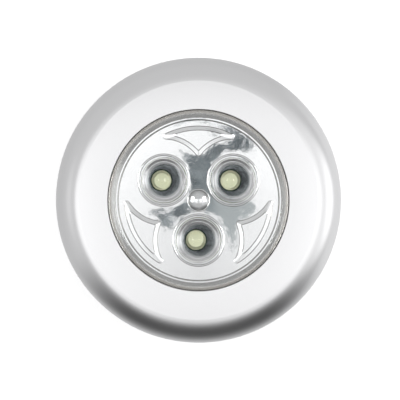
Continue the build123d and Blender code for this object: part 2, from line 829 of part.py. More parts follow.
# Reflector: a metallised plate with a sloped rim, three cups whose walls steepen in three steps,
# three bevelled wings and a centre button
cup_slope_run = cup_mouth_radius - cup_floor_radius - (len(cup_step_run_shares) - 1) * cup_step_reach
cup_points = [(cup_floor_radius, cup_floor)]
for run_share, rise_share in zip(cup_step_run_shares, cup_step_rise_shares):
    step_radius, step_z = cup_points[-1]
    step_radius += cup_slope_run * run_share
    step_z += cup_depth * rise_share
    cup_points.append((step_radius, step_z))
    cup_points.append((step_radius + cup_step_reach, step_z))
cup_points.pop()
cup_foot_z = cup_floor - reflector_thickness
wing_arc_radius = reflector_inner - wing_to_rim_gap
wing_cup_radius = cup_mouth_radius + wing_to_cup_gap
wing_wedge = 180 / led_count * wing_wedge_share


def wing_outline(height, arc_radius, cup_radius, tip_round):
    """Draws one wing, between two cups on the +Y side, on a plane of its own."""
    with BuildSketch(Plane.XY.offset(height)) as outline:
        Circle(arc_radius)
        for side in (-1, 1):
            with Locations(polar(led_pitch_radius, 90 + side * 180 / led_count)):
                Circle(cup_radius, mode=Mode.SUBTRACT)
        with BuildLine():
            Polyline(
                (0, 0),
                polar(2 * arc_radius, 90 - wing_wedge),
                polar(2 * arc_radius, 90 + wing_wedge),
                close=True,
            )
        make_face(mode=Mode.INTERSECT)
        fillet(outline.vertices(), radius=tip_round)
    return outline.sketch


wing_runs = (wing_lip_run, wing_bevel_run, wing_step_run)
wing_rises = (wing_lip_rise, wing_bevel_rise, wing_step_rise)
with BuildPart() as wing:
    wing_inset = 0
    wing_z = reflector_face
    lower = wing_outline(wing_z, wing_arc_radius, wing_cup_radius, wing_tip_round)
    for wing_run, wing_rise in zip(wing_runs, wing_rises):
        wing_inset += wing_run
        wing_z += wing_rise
        upper = wing_outline(
            wing_z,
            wing_arc_radius - wing_inset,
            wing_cup_radius + wing_inset,
            wing_tip_round * (1 - wing_inset / sum(wing_runs) * (1 - wing_tip_inner_share)),
        )
        loft([lower, upper], ruled=True)
        lower = upper

with BuildPart() as reflector:
    with BuildSketch(Plane.XY.offset(reflector_under)):
        Circle(reflector_radius)
    extrude(amount=reflector_thickness)
    rim_ledge_z = reflector_face + rim_foot_rise
    with BuildSketch(Plane.XZ):
        with BuildLine():
            Polyline(
                (reflector_inner - rim_foot_run, reflector_face),
                (reflector_inner, rim_ledge_z),
                (reflector_inner + rim_ledge, rim_ledge_z),
                (reflector_radius - rim_land, rim_ledge_z + rim_slope_rise),
                (reflector_radius - rim_land, lens_under - seat_gap),
                (reflector_radius, lens_under - seat_gap),
                (reflector_radius, reflector_face),
                close=True,
            )
        make_face()
    revolve(axis=Axis.Z)
    for angle in led_angles:
        cup_plane = Plane(
            origin=(*polar(led_pitch_radius, angle), 0), x_dir=(1, 0, 0), z_dir=(0, -1, 0)
        )
        cup_axis = Axis((*polar(led_pitch_radius, angle), 0), (0, 0, 1))
        with BuildSketch(cup_plane):
            with BuildLine():
                Polyline(
                    (0, cup_foot_z),
                    (cup_foot_radius, cup_foot_z),
                    (cup_head_radius, reflector_under),
                    (cup_head_radius, reflector_face),
                    (0, reflector_face),
                    close=True,
                )
            make_face()
        revolve(axis=cup_axis)
    for angle in led_angles:
        cup_plane = Plane(
            origin=(*polar(led_pitch_radius, angle), 0), x_dir=(1, 0, 0), z_dir=(0, -1, 0)
        )
        cup_axis = Axis((*polar(led_pitch_radius, angle), 0), (0, 0, 1))
        with BuildSketch(cup_plane):
            with BuildLine():
                Polyline((0, cup_floor), *cup_points, (0, reflector_face), close=True)
            make_face()
        revolve(axis=cup_axis, mode=Mode.SUBTRACT)
        with BuildSketch(cup_plane):
            with Locations((cup_mouth_radius + cup_bead_radius, reflector_face)):
                Circle(cup_bead_radius)
        revolve(axis=cup_axis)
    with BuildSketch(Plane.XY.offset(cup_foot_z)):
        with Locations(led_places):
            Circle(cup_hole_radius)
    extrude(amount=reflector_thickness, mode=Mode.SUBTRACT)
    with PolarLocations(0, led_count, start_angle=0):
        add(wing.part)
    with BuildSketch(Plane.XZ):
        with Locations((button_ring_radius, reflector_face)):
            Circle(button_bead_radius)
    revolve(axis=Axis.Z)
    button_radius = button_ring_radius - button_bead_radius
    button_top = reflector_face + button_dome_height
    with BuildSketch(Plane.XZ):
        with BuildLine():
            Line((0, reflector_face), (0, button_top))
            TangentArc((0, button_top), (button_radius, reflector_face), tangent=(1, 0))
            Line((button_radius, reflector_face), (0, reflector_face))
        make_face()
    revolve(axis=Axis.Z)
    with BuildSketch(Plane.XY.offset(boss_z)):
        Circle(plunger_boss_radius)
    extrude(amount=plunger_boss_length)
reflector.part.label = "reflector"
export_step(reflector.part, "parts/reflector.step")

# Lens: a clear cap with a skirt, a flange that holds it under the housing's face, three notches
# for the housing's keys, and the clips that hold the reflector
with BuildPart() as lens:
    with BuildSketch(Plane.XY.offset(skirt_z)):
        Circle(lens_radius)
    extrude(amount=lens_top - skirt_z)
    crown_edge = lens.edges().filter_by(GeomType.CIRCLE).group_by(Axis.Z)[-1]
    fillet(crown_edge, radius=lens_edge_round)
    with BuildSketch(Plane.XY.offset(flange_z)):
        Circle(flange_radius)
        notch_reach = key_reach - collar_gap + key_gap
        notch_middle = flange_radius - notch_reach / 2 + overrun / 2
        with PolarLocations(notch_middle, guide_count, start_angle=first_key_angle):
            Rectangle(notch_reach + overrun, key_width + 2 * key_gap, mode=Mode.SUBTRACT)
    extrude(amount=lens_flange_thickness)
    with BuildSketch(Plane.XY.offset(skirt_z)):
        Circle(skirt_bore)
    extrude(amount=lens_skirt_length, mode=Mode.SUBTRACT)
    with BuildSketch(Plane.XY.offset(reflector_under - seat_gap - clip_height)):
        for n in range(clip_count):
            ring_stretch(
                skirt_bore - clip_reach,
                skirt_bore + lens_skirt_wall / 2,
                360 / clip_count * n,
                clip_span,
            )
    extrude(amount=clip_height)
lens.part.label = "lens"
export_step(lens.part, "parts/lens.step")

print("least gap between the turns of a contact's coil, mm:", round(least_coil_gap(
    coil_turns, (coil_base_radius, coil_tip_radius), coil_reach, coil_wire), 3))
print("least gap between the turns of the switch's spring, mm:", round(least_coil_gap(
    switch_spring_turns, (switch_spring_radius, switch_spring_radius), switch_spring_rise,
    switch_spring_wire), 3))
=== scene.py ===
from math import atan2, cos, pi, radians, sin

import bmesh
import bpy
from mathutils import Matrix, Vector


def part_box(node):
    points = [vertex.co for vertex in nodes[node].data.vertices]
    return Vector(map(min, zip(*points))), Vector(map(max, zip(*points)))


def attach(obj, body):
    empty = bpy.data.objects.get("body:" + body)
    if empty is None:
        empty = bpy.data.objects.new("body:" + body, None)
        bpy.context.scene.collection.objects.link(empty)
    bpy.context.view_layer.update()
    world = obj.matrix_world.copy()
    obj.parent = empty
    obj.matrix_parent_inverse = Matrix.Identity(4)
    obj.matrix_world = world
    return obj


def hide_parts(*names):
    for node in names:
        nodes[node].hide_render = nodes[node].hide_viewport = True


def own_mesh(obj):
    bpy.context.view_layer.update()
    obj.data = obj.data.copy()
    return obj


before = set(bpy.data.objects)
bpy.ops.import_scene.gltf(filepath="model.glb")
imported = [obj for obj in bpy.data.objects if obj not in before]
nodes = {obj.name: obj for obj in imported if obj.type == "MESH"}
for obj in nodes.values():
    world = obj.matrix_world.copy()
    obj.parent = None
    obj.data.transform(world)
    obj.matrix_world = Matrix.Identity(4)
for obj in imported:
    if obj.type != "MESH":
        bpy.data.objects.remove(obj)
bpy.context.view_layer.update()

# Housing: a shallow dome, injection moulded in ABS and then sprayed silver. Four screws hold it to
# the battery tray from behind, so its front shows no fastener.
mm = 0.001
lacquer_colours = ("#e8e8e9", "#eaeaeb")
lacquer_roughness = (0.275, 0.285)
flake_size = 0.25 * mm
flake_detail = 1.0
orange_peel_size = 1.8 * mm
orange_peel_depth = 0.004 * mm

# Nearly all of a noise lies between these two values
noise_low, noise_high = 0.3, 0.7

# The Mix node's colour inputs, A and B, and its colour output, whose names other sockets share
colour_a, colour_b, mixed = 6, 7, 2


def linear(code):
    """An sRGB hex colour as the linear values that Blender takes."""
    channels = [int(code[n : n + 2], 16) / 255 for n in (1, 3, 5)]
    return [c / 12.92 if c <= 0.04045 else ((c + 0.055) / 1.055) ** 2.4 for c in channels] + [1.0]


def add_node(tree, kind, settings=None, links=None):
    """Adds a node, sets its inputs or properties by name or number, and links its inputs."""
    node = tree.nodes.new(kind)
    for name, value in (settings or {}).items():
        if isinstance(name, int) or name in node.inputs:
            node.inputs[name].default_value = value
        else:
            setattr(node, name, value)
    for name, sources in (links or {}).items():
        for source in sources if isinstance(sources, list) else [sources]:
            tree.links.new(source, node.inputs[name])
    return node


def new_finish(name, colour, settings):
    """A material with one Principled shader, its fixed values set on the shader's own sockets."""
    material = bpy.data.materials.new(name)
    material.use_nodes = True
    shader = material.node_tree.nodes["Principled BSDF"]
    shader.inputs["Base Color"].default_value = linear(colour)
    for socket, value in settings.items():
        shader.inputs[socket].default_value = value
    return material, material.node_tree, shader


def add_relief(tree, shader, place, size, depth, noise=None):
    """Works a relief of one grain size and depth into a finish, and returns its height."""
    settings = {"Scale": 1 / size, **(noise or {})}
    grain = add_node(tree, "ShaderNodeTexNoise", settings, {"Vector": place}).outputs["Fac"]
    relief = add_node(tree, "ShaderNodeBump", {"Distance": depth}, {"Height": grain})
    tree.links.new(relief.outputs["Normal"], shader.inputs["Normal"])
    return grain


# Satin silver lacquer: aluminium flake in a clear binder. It gives broad, soft reflections, a
# slight orange peel and a faint sparkle up close, from flake drawn coarser than it is.
silver, tree, shader = new_finish("satin_silver_lacquer", lacquer_colours[1], {"Metallic": 1.0})
place = add_node(tree, "ShaderNodeTexCoord").outputs["Object"]
flake = add_node(
    tree, "ShaderNodeTexNoise", {"Scale": 1 / flake_size, "Detail": flake_detail}, {"Vector": place}
)
tone = add_node(
    tree,
    "ShaderNodeMix",
    {"data_type": "RGBA", colour_a: linear(lacquer_colours[0]), colour_b: linear(lacquer_colours[1])},
    {0: flake.outputs["Fac"]},
)
tree.links.new(tone.outputs[mixed], shader.inputs["Base Color"])
gloss = add_node(
    tree,
    "ShaderNodeMapRange",
    {
        "From Min": noise_low,
        "From Max": noise_high,
        "To Min": lacquer_roughness[0],
        "To Max": lacquer_roughness[1],
    },
    {"Value": flake.outputs["Fac"]},
)
tree.links.new(gloss.outputs["Result"], shader.inputs["Roughness"])
add_relief(tree, shader, place, orange_peel_size, orange_peel_depth)
nodes["housing"].data.materials[0] = silver

# Lens: a clear cap injection moulded in polystyrene, with a skirt that slides in the housing's
# collar. Pressing it works the switch.
flow_size = 9 * mm
flow_depth = 0.002 * mm
lens_colour = "#fafafa"
# Painted shade: the warm grey of the skirt and the rounded edge
lens_edge_shade_colour = "#a8a5a0"
lens_edge_clearness = 0.62
lens_flange_reach = 1.6 * mm
lens_edge_width = 0.5 * mm
lens_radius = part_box("lens")[1].y - lens_flange_reach

# Clear polystyrene: glossy, almost colourless, with faint flow lines that bend what lies behind.
# The skirt and the rounded edge are left satin by the mould, so they are less clear, and their warm
# grey is painted shade.
clear, tree, shader = new_finish(
    "clear_polystyrene", lens_colour, {"Transmission Weight": 1.0, "IOR": 1.57, "Roughness": 0.0}
)
place = add_node(tree, "ShaderNodeTexCoord").outputs["Object"]
level = add_node(tree, "ShaderNodeVectorMath", {"operation": "MULTIPLY", 1: (1, 1, 0)}, {0: place})
reach = add_node(tree, "ShaderNodeVectorMath", {"operation": "LENGTH"}, {0: level.outputs[0]})
skirt = add_node(
    tree,
    "ShaderNodeMapRange",
    {"From Min": lens_radius - 2 * lens_edge_width, "From Max": lens_radius - lens_edge_width},
    {"Value": reach.outputs["Value"]},
)
# The skirt and the rounded edge take the warm grey of painted shade
tone = add_node(
    tree,
    "ShaderNodeMix",
    {"data_type": "RGBA", colour_a: linear(lens_colour), colour_b: linear(lens_edge_shade_colour)},
    {0: skirt.outputs["Result"]},
)
tree.links.new(tone.outputs[mixed], shader.inputs["Base Color"])
clearness = add_node(
    tree,
    "ShaderNodeMapRange",
    {"To Min": 1.0, "To Max": lens_edge_clearness},
    {"Value": skirt.outputs["Result"]},
)
tree.links.new(clearness.outputs["Result"], shader.inputs["Transmission Weight"])
add_relief(tree, shader, place, flow_size, flow_depth)
nodes["lens"].data.materials[0] = clear

# The lamps' light goes straight through clear plastic, so it casts no shadow on the reflector
nodes["lens"].visible_shadow = False

# Reflector: an ABS moulding with three cups, three raised wings and a button, clipped into the
# lens. An aluminium film is deposited on it in a vacuum.
sink_size = 7.0 * mm
sink_depth = 0.016 * mm
sink_noise = {"Detail": 3.5, "Roughness": 0.55}
film_colour = "#f0f1f2"
# Painted shade: a darker, greyer film colour down in the cups, over this height above their floor
cup_shade_colour = "#909698"
cup_shade_height = 0.6 * mm
# Painted shade: a grey film colour on the steep raised edges
edge_shade_colour = "#a5a6a4"
film_roughness = 0.03
thin_film_roughness = 0.05
level_facing = 0.95
steep_facing = 0.84
reflector_thickness = 1.0 * mm
cup_depth = 1.6 * mm
cup_floor_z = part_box("reflector")[0].z + reflector_thickness
mirror_z = cup_floor_z + cup_depth

# Vacuum-metallised ABS: a mirror, slightly wavy because the film follows the moulding's sinks. The
# vapour comes from the front, so the film is thinner and a little rougher down in the cups and on the
# steep raised edges. Its colour there is painted shade: darker and greyer, which dims what they reflect.
bright, tree, shader = new_finish("vacuum_metallised_abs", film_colour, {"Metallic": 1.0})
spots = add_node(tree, "ShaderNodeTexCoord").outputs
height = add_node(tree, "ShaderNodeSeparateXYZ", None, {0: spots["Object"]}).outputs[2]
facing = add_node(tree, "ShaderNodeSeparateXYZ", None, {0: spots["Normal"]}).outputs[2]
# Painted shade down in the cups, which also makes the film a little rougher there
deep = add_node(
    tree,
    "ShaderNodeMapRange",
    {"From Min": cup_floor_z + cup_shade_height, "From Max": cup_floor_z},
    {"Value": height},
).outputs["Result"]
steep = add_node(
    tree, "ShaderNodeMapRange", {"From Min": level_facing, "From Max": steep_facing}, {"Value": facing}
).outputs["Result"]
raised = add_node(
    tree, "ShaderNodeMath", {"operation": "GREATER_THAN", 1: mirror_z}, {0: height}
).outputs[0]
# Painted shade on the steep raised edges, which also makes the film a little rougher there
shaded_edge = add_node(tree, "ShaderNodeMath", {"operation": "MULTIPLY"}, {0: steep, 1: raised}).outputs[0]
tone = add_node(
    tree,
    "ShaderNodeMix",
    {"data_type": "RGBA", colour_a: linear(film_colour), colour_b: linear(cup_shade_colour)},
    {0: deep},
)
tone = add_node(
    tree,
    "ShaderNodeMix",
    {"data_type": "RGBA", colour_b: linear(edge_shade_colour)},
    {0: shaded_edge, colour_a: tone.outputs[mixed]},
)
tree.links.new(tone.outputs[mixed], shader.inputs["Base Color"])
thin = add_node(tree, "ShaderNodeMath", {"operation": "MAXIMUM"}, {0: deep, 1: shaded_edge}).outputs[0]
gloss = add_node(
    tree, "ShaderNodeMapRange", {"To Min": film_roughness, "To Max": thin_film_roughness}, {"Value": thin}
)
tree.links.new(gloss.outputs["Result"], shader.inputs["Roughness"])
add_relief(tree, shader, spots["Object"], sink_size, sink_depth, sink_noise)
nodes["reflector"].data.materials[0] = bright

# LEDs: three 5 mm lamps of water-clear epoxy, cast in one piece round their leads, with a flange
# at the foot and a flat on the cathode's side. The dome magnifies the phosphor under it.
dome_side_count = 48
dome_ring_count = 14
flange_height = 1.0 * mm
flange_bevel = 0.15 * mm
dome_radius = 2.5 * mm
crease_angle = 30.0
swirl_size = 1.5 * mm
swirl_depth = 0.0008 * mm

# Cast epoxy: clear and glossy with a trace of yellow, and faint swirls from the pour
epoxy, tree, shader = new_finish(
    "cast_epoxy", "#fbfbf4", {"Transmission Weight": 1.0, "IOR": 1.54, "Roughness": 0.0}
)
place = add_node(tree, "ShaderNodeTexCoord").outputs["Object"]
add_relief(tree, shader, place, swirl_size, swirl_depth)


def new_piece(name, mesh, material):
    """Turns a bmesh into a piece of one material at the origin."""
    data = bpy.data.meshes.new(name)
    mesh.to_mesh(data)
    mesh.free()
    data.materials.append(material)
    piece = bpy.data.objects.new(name, data)
    bpy.context.scene.collection.objects.link(piece)
    return piece


def smooth_piece(name, mesh, material):
    """Makes a bmesh a piece that is smooth but for its sharp edges."""
    bmesh.ops.recalc_face_normals(mesh, faces=mesh.faces)
    piece = new_piece(name, mesh, material)
    piece.data.shade_smooth()
    piece.data.set_sharp_from_angle(angle=radians(crease_angle))
    return piece


def round_outline(x, y, radius, sides):
    """The corners of a round outline about a place, anticlockwise from its right."""
    turns = [2 * pi * n / sides for n in range(sides)]
    return [(x + radius * cos(turn), y + radius * sin(turn)) for turn in turns]


def lathe(profile, centre, sides):
    """A closed solid of revolution about Z from (radius, height) points, axis end to axis end."""
    mesh = bmesh.new()
    rings = []
    for radius, height in profile:
        if radius == 0:
            rings.append([mesh.verts.new((centre.x, centre.y, height))])
            continue
        outline = round_outline(centre.x, centre.y, radius, sides)
        rings.append([mesh.verts.new((x, y, height)) for x, y in outline])
    for near, far in zip(rings, rings[1:]):
        for n in range(sides):
            corners = [near[n % len(near)], near[(n + 1) % len(near)]]
            corners += [far[(n + 1) % len(far)], far[n % len(far)]]
            mesh.faces.new(list(dict.fromkeys(corners)))
    return mesh


for number in (1, 2, 3):
    low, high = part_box(f"led_{number}")
    flange_radius = (high.y - low.y) / 2
    middle = Vector((high.x - flange_radius, (low.y + high.y) / 2, 0))
    flange_top = low.z + flange_height
    profile = [
        (0, low.z),
        (flange_radius - flange_bevel, low.z),
        (flange_radius, low.z + flange_bevel),
        (flange_radius, flange_top - flange_bevel),
        (flange_radius - flange_bevel, flange_top),
        (dome_radius + flange_bevel, flange_top),
        (dome_radius, flange_top + flange_bevel),
    ]
    for n in range(dome_ring_count):
        turn = pi / 2 * n / dome_ring_count
        profile.append((dome_radius * cos(turn), high.z - dome_radius + dome_radius * sin(turn)))
    profile.append((0, high.z))
    body = lathe(profile, middle, dome_side_count)
    for corner in body.verts:
        corner.co.x = max(corner.co.x, low.x)
    led = smooth_piece(f"led_body_{number}", body, epoxy)
    led.visible_shadow = False
    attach(led, "body")
    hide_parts(f"led_{number}")

# Phosphor: yellow powder in silicone gel, dropped into the anvil's cup over each LED's chip, where
# it sets with a slight crown
gel_colours = ("#f2f6cb", "#f7fbe0")
speck_size = 0.15 * mm

# Phosphor gel: matt and pale, with the powder just showing as specks, drawn coarser than it is
gel, tree, shader = new_finish("phosphor_gel", gel_colours[1], {"Roughness": 0.5})
place = add_node(tree, "ShaderNodeTexCoord").outputs["Object"]
speck = add_node(tree, "ShaderNodeTexNoise", {"Scale": 1 / speck_size}, {"Vector": place})
tone = add_node(
    tree,
    "ShaderNodeMix",
    {"data_type": "RGBA", colour_a: linear(gel_colours[0]), colour_b: linear(gel_colours[1])},
    {0: speck.outputs["Fac"]},
)
tree.links.new(tone.outputs[mixed], shader.inputs["Base Color"])
for number in (1, 2, 3):
    nodes[f"led_phosphor_{number}"].data.materials[0] = gel

# Leads and pins: stamped from steel strip and dipped in tin, one LED lead with the anvil and the
# other with the post, and six pins under the switch
tin_wipe_size = 0.4 * mm


def plated(name, colour, wipe_size, roughness):
    """A plated metal: one colour, with a roughness that changes where the bath wiped it."""
    material, tree, shader = new_finish(name, colour, {"Metallic": 1.0})
    place = add_node(tree, "ShaderNodeTexCoord").outputs["Object"]
    wipe = add_node(tree, "ShaderNodeTexNoise", {"Scale": 1 / wipe_size}, {"Vector": place})
    gloss = add_node(
        tree,
        "ShaderNodeMapRange",
        {"From Min": noise_low, "From Max": noise_high, "To Min": roughness[0], "To Max": roughness[1]},
        {"Value": wipe.outputs["Fac"]},
    )
    tree.links.new(gloss.outputs["Result"], shader.inputs["Roughness"])
    return material


# Tinned steel: whiter and duller than nickel, with soft smears
tinned = plated("tinned_steel", "#d9d9d6", tin_wipe_size, roughness=(0.2, 0.34))
for name in ("led_leads_1", "led_leads_2", "led_leads_3", "switch_terminals"):
    nodes[name].data.materials[0] = tinned

# LED board: a round of glass-cloth laminate with a printed circuit, under green solder mask. Three
# screws hold it to the tray's standoffs.
mask_colours = ("#1b5633", "#236a42")
cloth_spacing = 0.5 * mm
cloth_depth = 0.006 * mm
cloth_waviness = 0.4

# The wave texture turns through 20 radians in each unit of its scaled length
wave_rate = 20

# Solder mask: a glossy green varnish, through which the cloth's weave just shows
mask, tree, shader = new_finish("green_solder_mask", mask_colours[1], {"Roughness": 0.3})
place = add_node(tree, "ShaderNodeTexCoord").outputs["Object"]
weave = [
    add_node(
        tree,
        "ShaderNodeTexWave",
        {
            "bands_direction": direction,
            "Scale": 2 * pi / (wave_rate * cloth_spacing),
            "Distortion": cloth_waviness,
        },
        {"Vector": place},
    ).outputs["Fac"]
    for direction in ("X", "Y")
]
cloth = add_node(tree, "ShaderNodeMath", {"operation": "MULTIPLY"}, {0: weave[0], 1: weave[1]})
tone = add_node(
    tree,
    "ShaderNodeMix",
    {"data_type": "RGBA", colour_a: linear(mask_colours[0]), colour_b: linear(mask_colours[1])},
    {0: cloth.outputs[0]},
)
tree.links.new(tone.outputs[mixed], shader.inputs["Base Color"])
relief = add_node(tree, "ShaderNodeBump", {"Distance": cloth_depth}, {"Height": cloth.outputs[0]})
tree.links.new(relief.outputs["Normal"], shader.inputs["Normal"])
nodes["led_board"].data.materials[0] = mask

# Solder joints: a cone of tin round each lead and pin under the board, drawn in towards its tip. The
# wave of molten solder leaves them there as the board passes over it.
joint_foot_radius = 0.62 * mm
joint_tip_radius = 0.3 * mm
joint_height = 0.55 * mm
joint_side_count = 12
joint_ring_count = 4
joint_waist_share = 0.75
joint_straight_share = 0.5
lead_side = 0.45 * mm
pin_side = 0.5 * mm

# Solder: bright tin, shinier than the dipped leads
solder = plated("solder_tin", "#dededc", tin_wipe_size, roughness=(0.12, 0.26))


def new_tree(name, inputs):
    """An empty Geometry Nodes tree on points, and what its named number inputs give."""
    tree = bpy.data.node_groups.new(name, "GeometryNodeTree")
    tree.is_modifier = True
    tree.interface.new_socket("Points", in_out="INPUT", socket_type="NodeSocketGeometry")
    for title in inputs:
        tree.interface.new_socket(title, in_out="INPUT", socket_type="NodeSocketFloat")
    tree.interface.new_socket("Geometry", in_out="OUTPUT", socket_type="NodeSocketGeometry")
    return tree, add_node(tree, "NodeGroupInput").outputs


def end_tree(tree, copies, material):
    """Ends a tree: copies made real, and their material set."""
    real = add_node(tree, "GeometryNodeRealizeInstances", None, {0: copies})
    finished = add_node(tree, "GeometryNodeSetMaterial", {"Material": material}, {0: real.outputs[0]})
    add_node(tree, "NodeGroupOutput", None, {0: finished.outputs[0]})


def grow(name, tree, sizes, points, material):
    """Runs a tree on points with its sizes, and returns what it makes as a plain piece."""
    data = bpy.data.meshes.new(f"{name}_points")
    data.from_pydata(points, [], [])
    seed = bpy.data.objects.new(f"{name}_points", data)
    bpy.context.scene.collection.objects.link(seed)
    modifier = seed.modifiers.new("grow", "NODES")
    modifier.node_group = tree
    for item in tree.interface.items_tree:
        if item.in_out == "INPUT" and item.name in sizes:
            modifier[item.identifier] = sizes[item.name]
    bpy.context.view_layer.update()
    evaluated = seed.evaluated_get(bpy.context.evaluated_depsgraph_get())
    made = bpy.data.meshes.new_from_object(evaluated)
    mesh = bmesh.new()
    mesh.from_mesh(made)
    seed.modifiers.remove(modifier)
    bpy.data.objects.remove(seed)
    bpy.data.meshes.remove(made)
    return smooth_piece(name, mesh, material)


tree, given = new_tree("solder_joint", ("Foot Radius", "Tip Radius", "Height"))
cone = add_node(
    tree,
    "GeometryNodeMeshCone",
    {"Vertices": joint_side_count, "Side Segments": joint_ring_count},
    {"Radius Top": given["Foot Radius"], "Radius Bottom": given["Tip Radius"], "Depth": given["Height"]},
)
spot = add_node(tree, "GeometryNodeInputPosition").outputs[0]
axes = add_node(tree, "ShaderNodeSeparateXYZ", None, {0: spot}).outputs
rise = add_node(
    tree, "ShaderNodeMath", {"operation": "DIVIDE"}, {0: axes[2], 1: given["Height"]}
).outputs[0]
bow = add_node(tree, "ShaderNodeMath", {"operation": "MULTIPLY"}, {0: rise, 1: rise}).outputs[0]
draw_in = add_node(
    tree,
    "ShaderNodeMapRange",
    {"From Max": joint_straight_share**2, "To Min": joint_waist_share},
    {"Value": bow},
).outputs["Result"]
waist = add_node(tree, "ShaderNodeCombineXYZ", {2: 1.0}, {0: draw_in, 1: draw_in})
drawn = add_node(tree, "ShaderNodeVectorMath", {"operation": "MULTIPLY"}, {0: spot, 1: waist.outputs[0]})
joint = add_node(
    tree, "GeometryNodeSetPosition", None, {"Geometry": cone.outputs["Mesh"], "Position": drawn.outputs[0]}
)
copies = add_node(
    tree, "GeometryNodeInstanceOnPoints", None, {"Points": given["Points"], "Instance": joint.outputs[0]}
)
end_tree(tree, copies.outputs[0], solder)

joint_points = []
for name in ("led_leads_1", "led_leads_2", "led_leads_3", "switch_terminals"):
    low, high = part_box(name)
    if name == "switch_terminals":
        columns = (low.x + pin_side / 2, high.x - pin_side / 2)
        rows = (low.y + pin_side / 2, 0, high.y - pin_side / 2)
    else:
        columns = (low.x + lead_side / 2, high.x - lead_side / 2)
        rows = ((low.y + high.y) / 2,)
    foot_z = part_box("led_board")[0].z - joint_height
    joint_points += [(x, y, foot_z) for x in columns for y in rows]
joint_sizes = {"Foot Radius": joint_foot_radius, "Tip Radius": joint_tip_radius, "Height": joint_height}
joints = grow("solder_joints", tree, joint_sizes, joint_points, solder)
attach(joints, "body")

# Resistors: a chip resistor for each LED, a block of fired alumina with a black coat on top and
# tinned end caps, soldered flat on the board
cap_length = 0.45 * mm
coat_colour = "#1d1d1f"
cap_colour = "#d9d9d6"
low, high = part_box("resistor_1")
resistor_length = high.y - low.y

# Coated alumina: satin black between the caps, which are tinned and bright
for number in (1, 2, 3):
    low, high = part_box(f"resistor_{number}")
    turn = atan2(low.y + high.y, low.x + high.x) + pi / 2
    coat, tree, shader = new_finish(f"coated_alumina_{number}", coat_colour, {"Roughness": 0.35})
    place = add_node(tree, "ShaderNodeTexCoord").outputs["Object"]
    turned = add_node(tree, "ShaderNodeMapping", {"Rotation": (0, 0, -turn)}, {"Vector": place})
    along = add_node(tree, "ShaderNodeSeparateXYZ", None, {0: turned.outputs[0]}).outputs[0]
    off_middle = add_node(tree, "ShaderNodeMath", {"operation": "ABSOLUTE"}, {0: along})
    cap = add_node(
        tree,
        "ShaderNodeMath",
        {"operation": "GREATER_THAN", 1: resistor_length / 2 - cap_length},
        {0: off_middle.outputs[0]},
    )
    tone = add_node(
        tree,
        "ShaderNodeMix",
        {"data_type": "RGBA", colour_a: linear(coat_colour), colour_b: linear(cap_colour)},
        {0: cap.outputs[0]},
    )
    tree.links.new(tone.outputs[mixed], shader.inputs["Base Color"])
    tree.links.new(cap.outputs[0], shader.inputs["Metallic"])
    nodes[f"resistor_{number}"].data.materials[0] = coat

# Switch: a latching push switch soldered between the LEDs, with a black nylon case, a white
# acetal plunger with a broad cap, and a return spring round the plunger
nylon_pore_size = 0.3 * mm
nylon_pore_depth = 0.004 * mm
wire_wipe_size = 0.6 * mm
weld_distance = 0.001 * mm


def moulded(name, colours, pore_size, pore_depth, roughness):
    """A moulded plastic: two close shades of one colour, and a relief of fine pores."""
    material, tree, shader = new_finish(name, colours[0], {"Roughness": roughness})
    place = add_node(tree, "ShaderNodeTexCoord").outputs["Object"]
    pores = add_relief(tree, shader, place, pore_size, pore_depth)
    share = add_node(
        tree, "ShaderNodeMapRange", {"From Min": noise_low, "From Max": noise_high}, {"Value": pores}
    )
    tone = add_node(
        tree,
        "ShaderNodeMix",
        {"data_type": "RGBA", colour_a: linear(colours[0]), colour_b: linear(colours[1])},
        {0: share.outputs["Result"]},
    )
    tree.links.new(tone.outputs[mixed], shader.inputs["Base Color"])
    return material, tree, shader, tone


# Black nylon: satin, slightly porous. White acetal: smooth and a little waxy. Spring steel: bright
# drawn wire.
nylon = moulded("black_nylon", ("#1b1b1c", "#232324"), nylon_pore_size, nylon_pore_depth, roughness=0.5)[0]
nodes["switch_body"].data.materials[0] = nylon
acetal = moulded("white_acetal", ("#e6e6e2", "#ecece9"), nylon_pore_size, 0.0, roughness=0.38)[0]
nodes["switch_plunger"].data.materials[0] = acetal
spring_wire = plated("spring_steel_wire", "#c9c8c5", wire_wipe_size, roughness=(0.18, 0.28))

# The return spring stands on the case under the plunger's cap, which closes it up when pressed. Here
# it is a piece of its own with a mesh of its own, and keeps its shape.
low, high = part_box("switch_spring")
coil = bmesh.new()
coil.from_mesh(nodes["switch_spring"].data)
bmesh.ops.remove_doubles(coil, verts=coil.verts, dist=weld_distance)
spring = smooth_piece("return_spring", coil, spring_wire)
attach(spring, "body")
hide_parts("switch_spring")
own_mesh(spring)

# Leads to the board: two short PVC-covered wires, red from the positive contact and black from the
# negative one, soldered at both ends
vinyl_mark_size = 0.6 * mm
vinyl_mark_depth = 0.002 * mm

# Soft PVC: an even colour with a satin shine, faintly marked by the extruder
for name, colours in (("wire_red", ("#b01f1b", "#bd2823")), ("wire_black", ("#17171a", "#212124"))):
    vinyl = moulded(f"pvc_{name}", colours, vinyl_mark_size, vinyl_mark_depth, roughness=0.4)[0]
    nodes[name].data.materials[0] = vinyl

# Battery tray: a white ABS moulding, an open bay for three cells under a round roof with the
# board's standoffs
tray_pore_size = 0.4 * mm
tray_pore_depth = 0.01 * mm

# White ABS: off-white with a fine even pore and a soft shine
tray_colours = ("#d6d6d1", "#dededa")
white_abs = moulded("moulded_white_abs", tray_colours, tray_pore_size, tray_pore_depth, roughness=0.42)[0]
nodes["battery_tray"].data.materials[0] = white_abs

# Cells: three AAA cells, each a steel can in a plain shrunk sleeve with a pale band near its
# positive end
sleeve_colour = "#414d5a"
band_colour = "#c3cad1"
can_colour = "#cfcfcc"
sleeve_share = 0.012
band_share = 0.74
band_end_share = 0.8
sleeve_end_share = 0.966

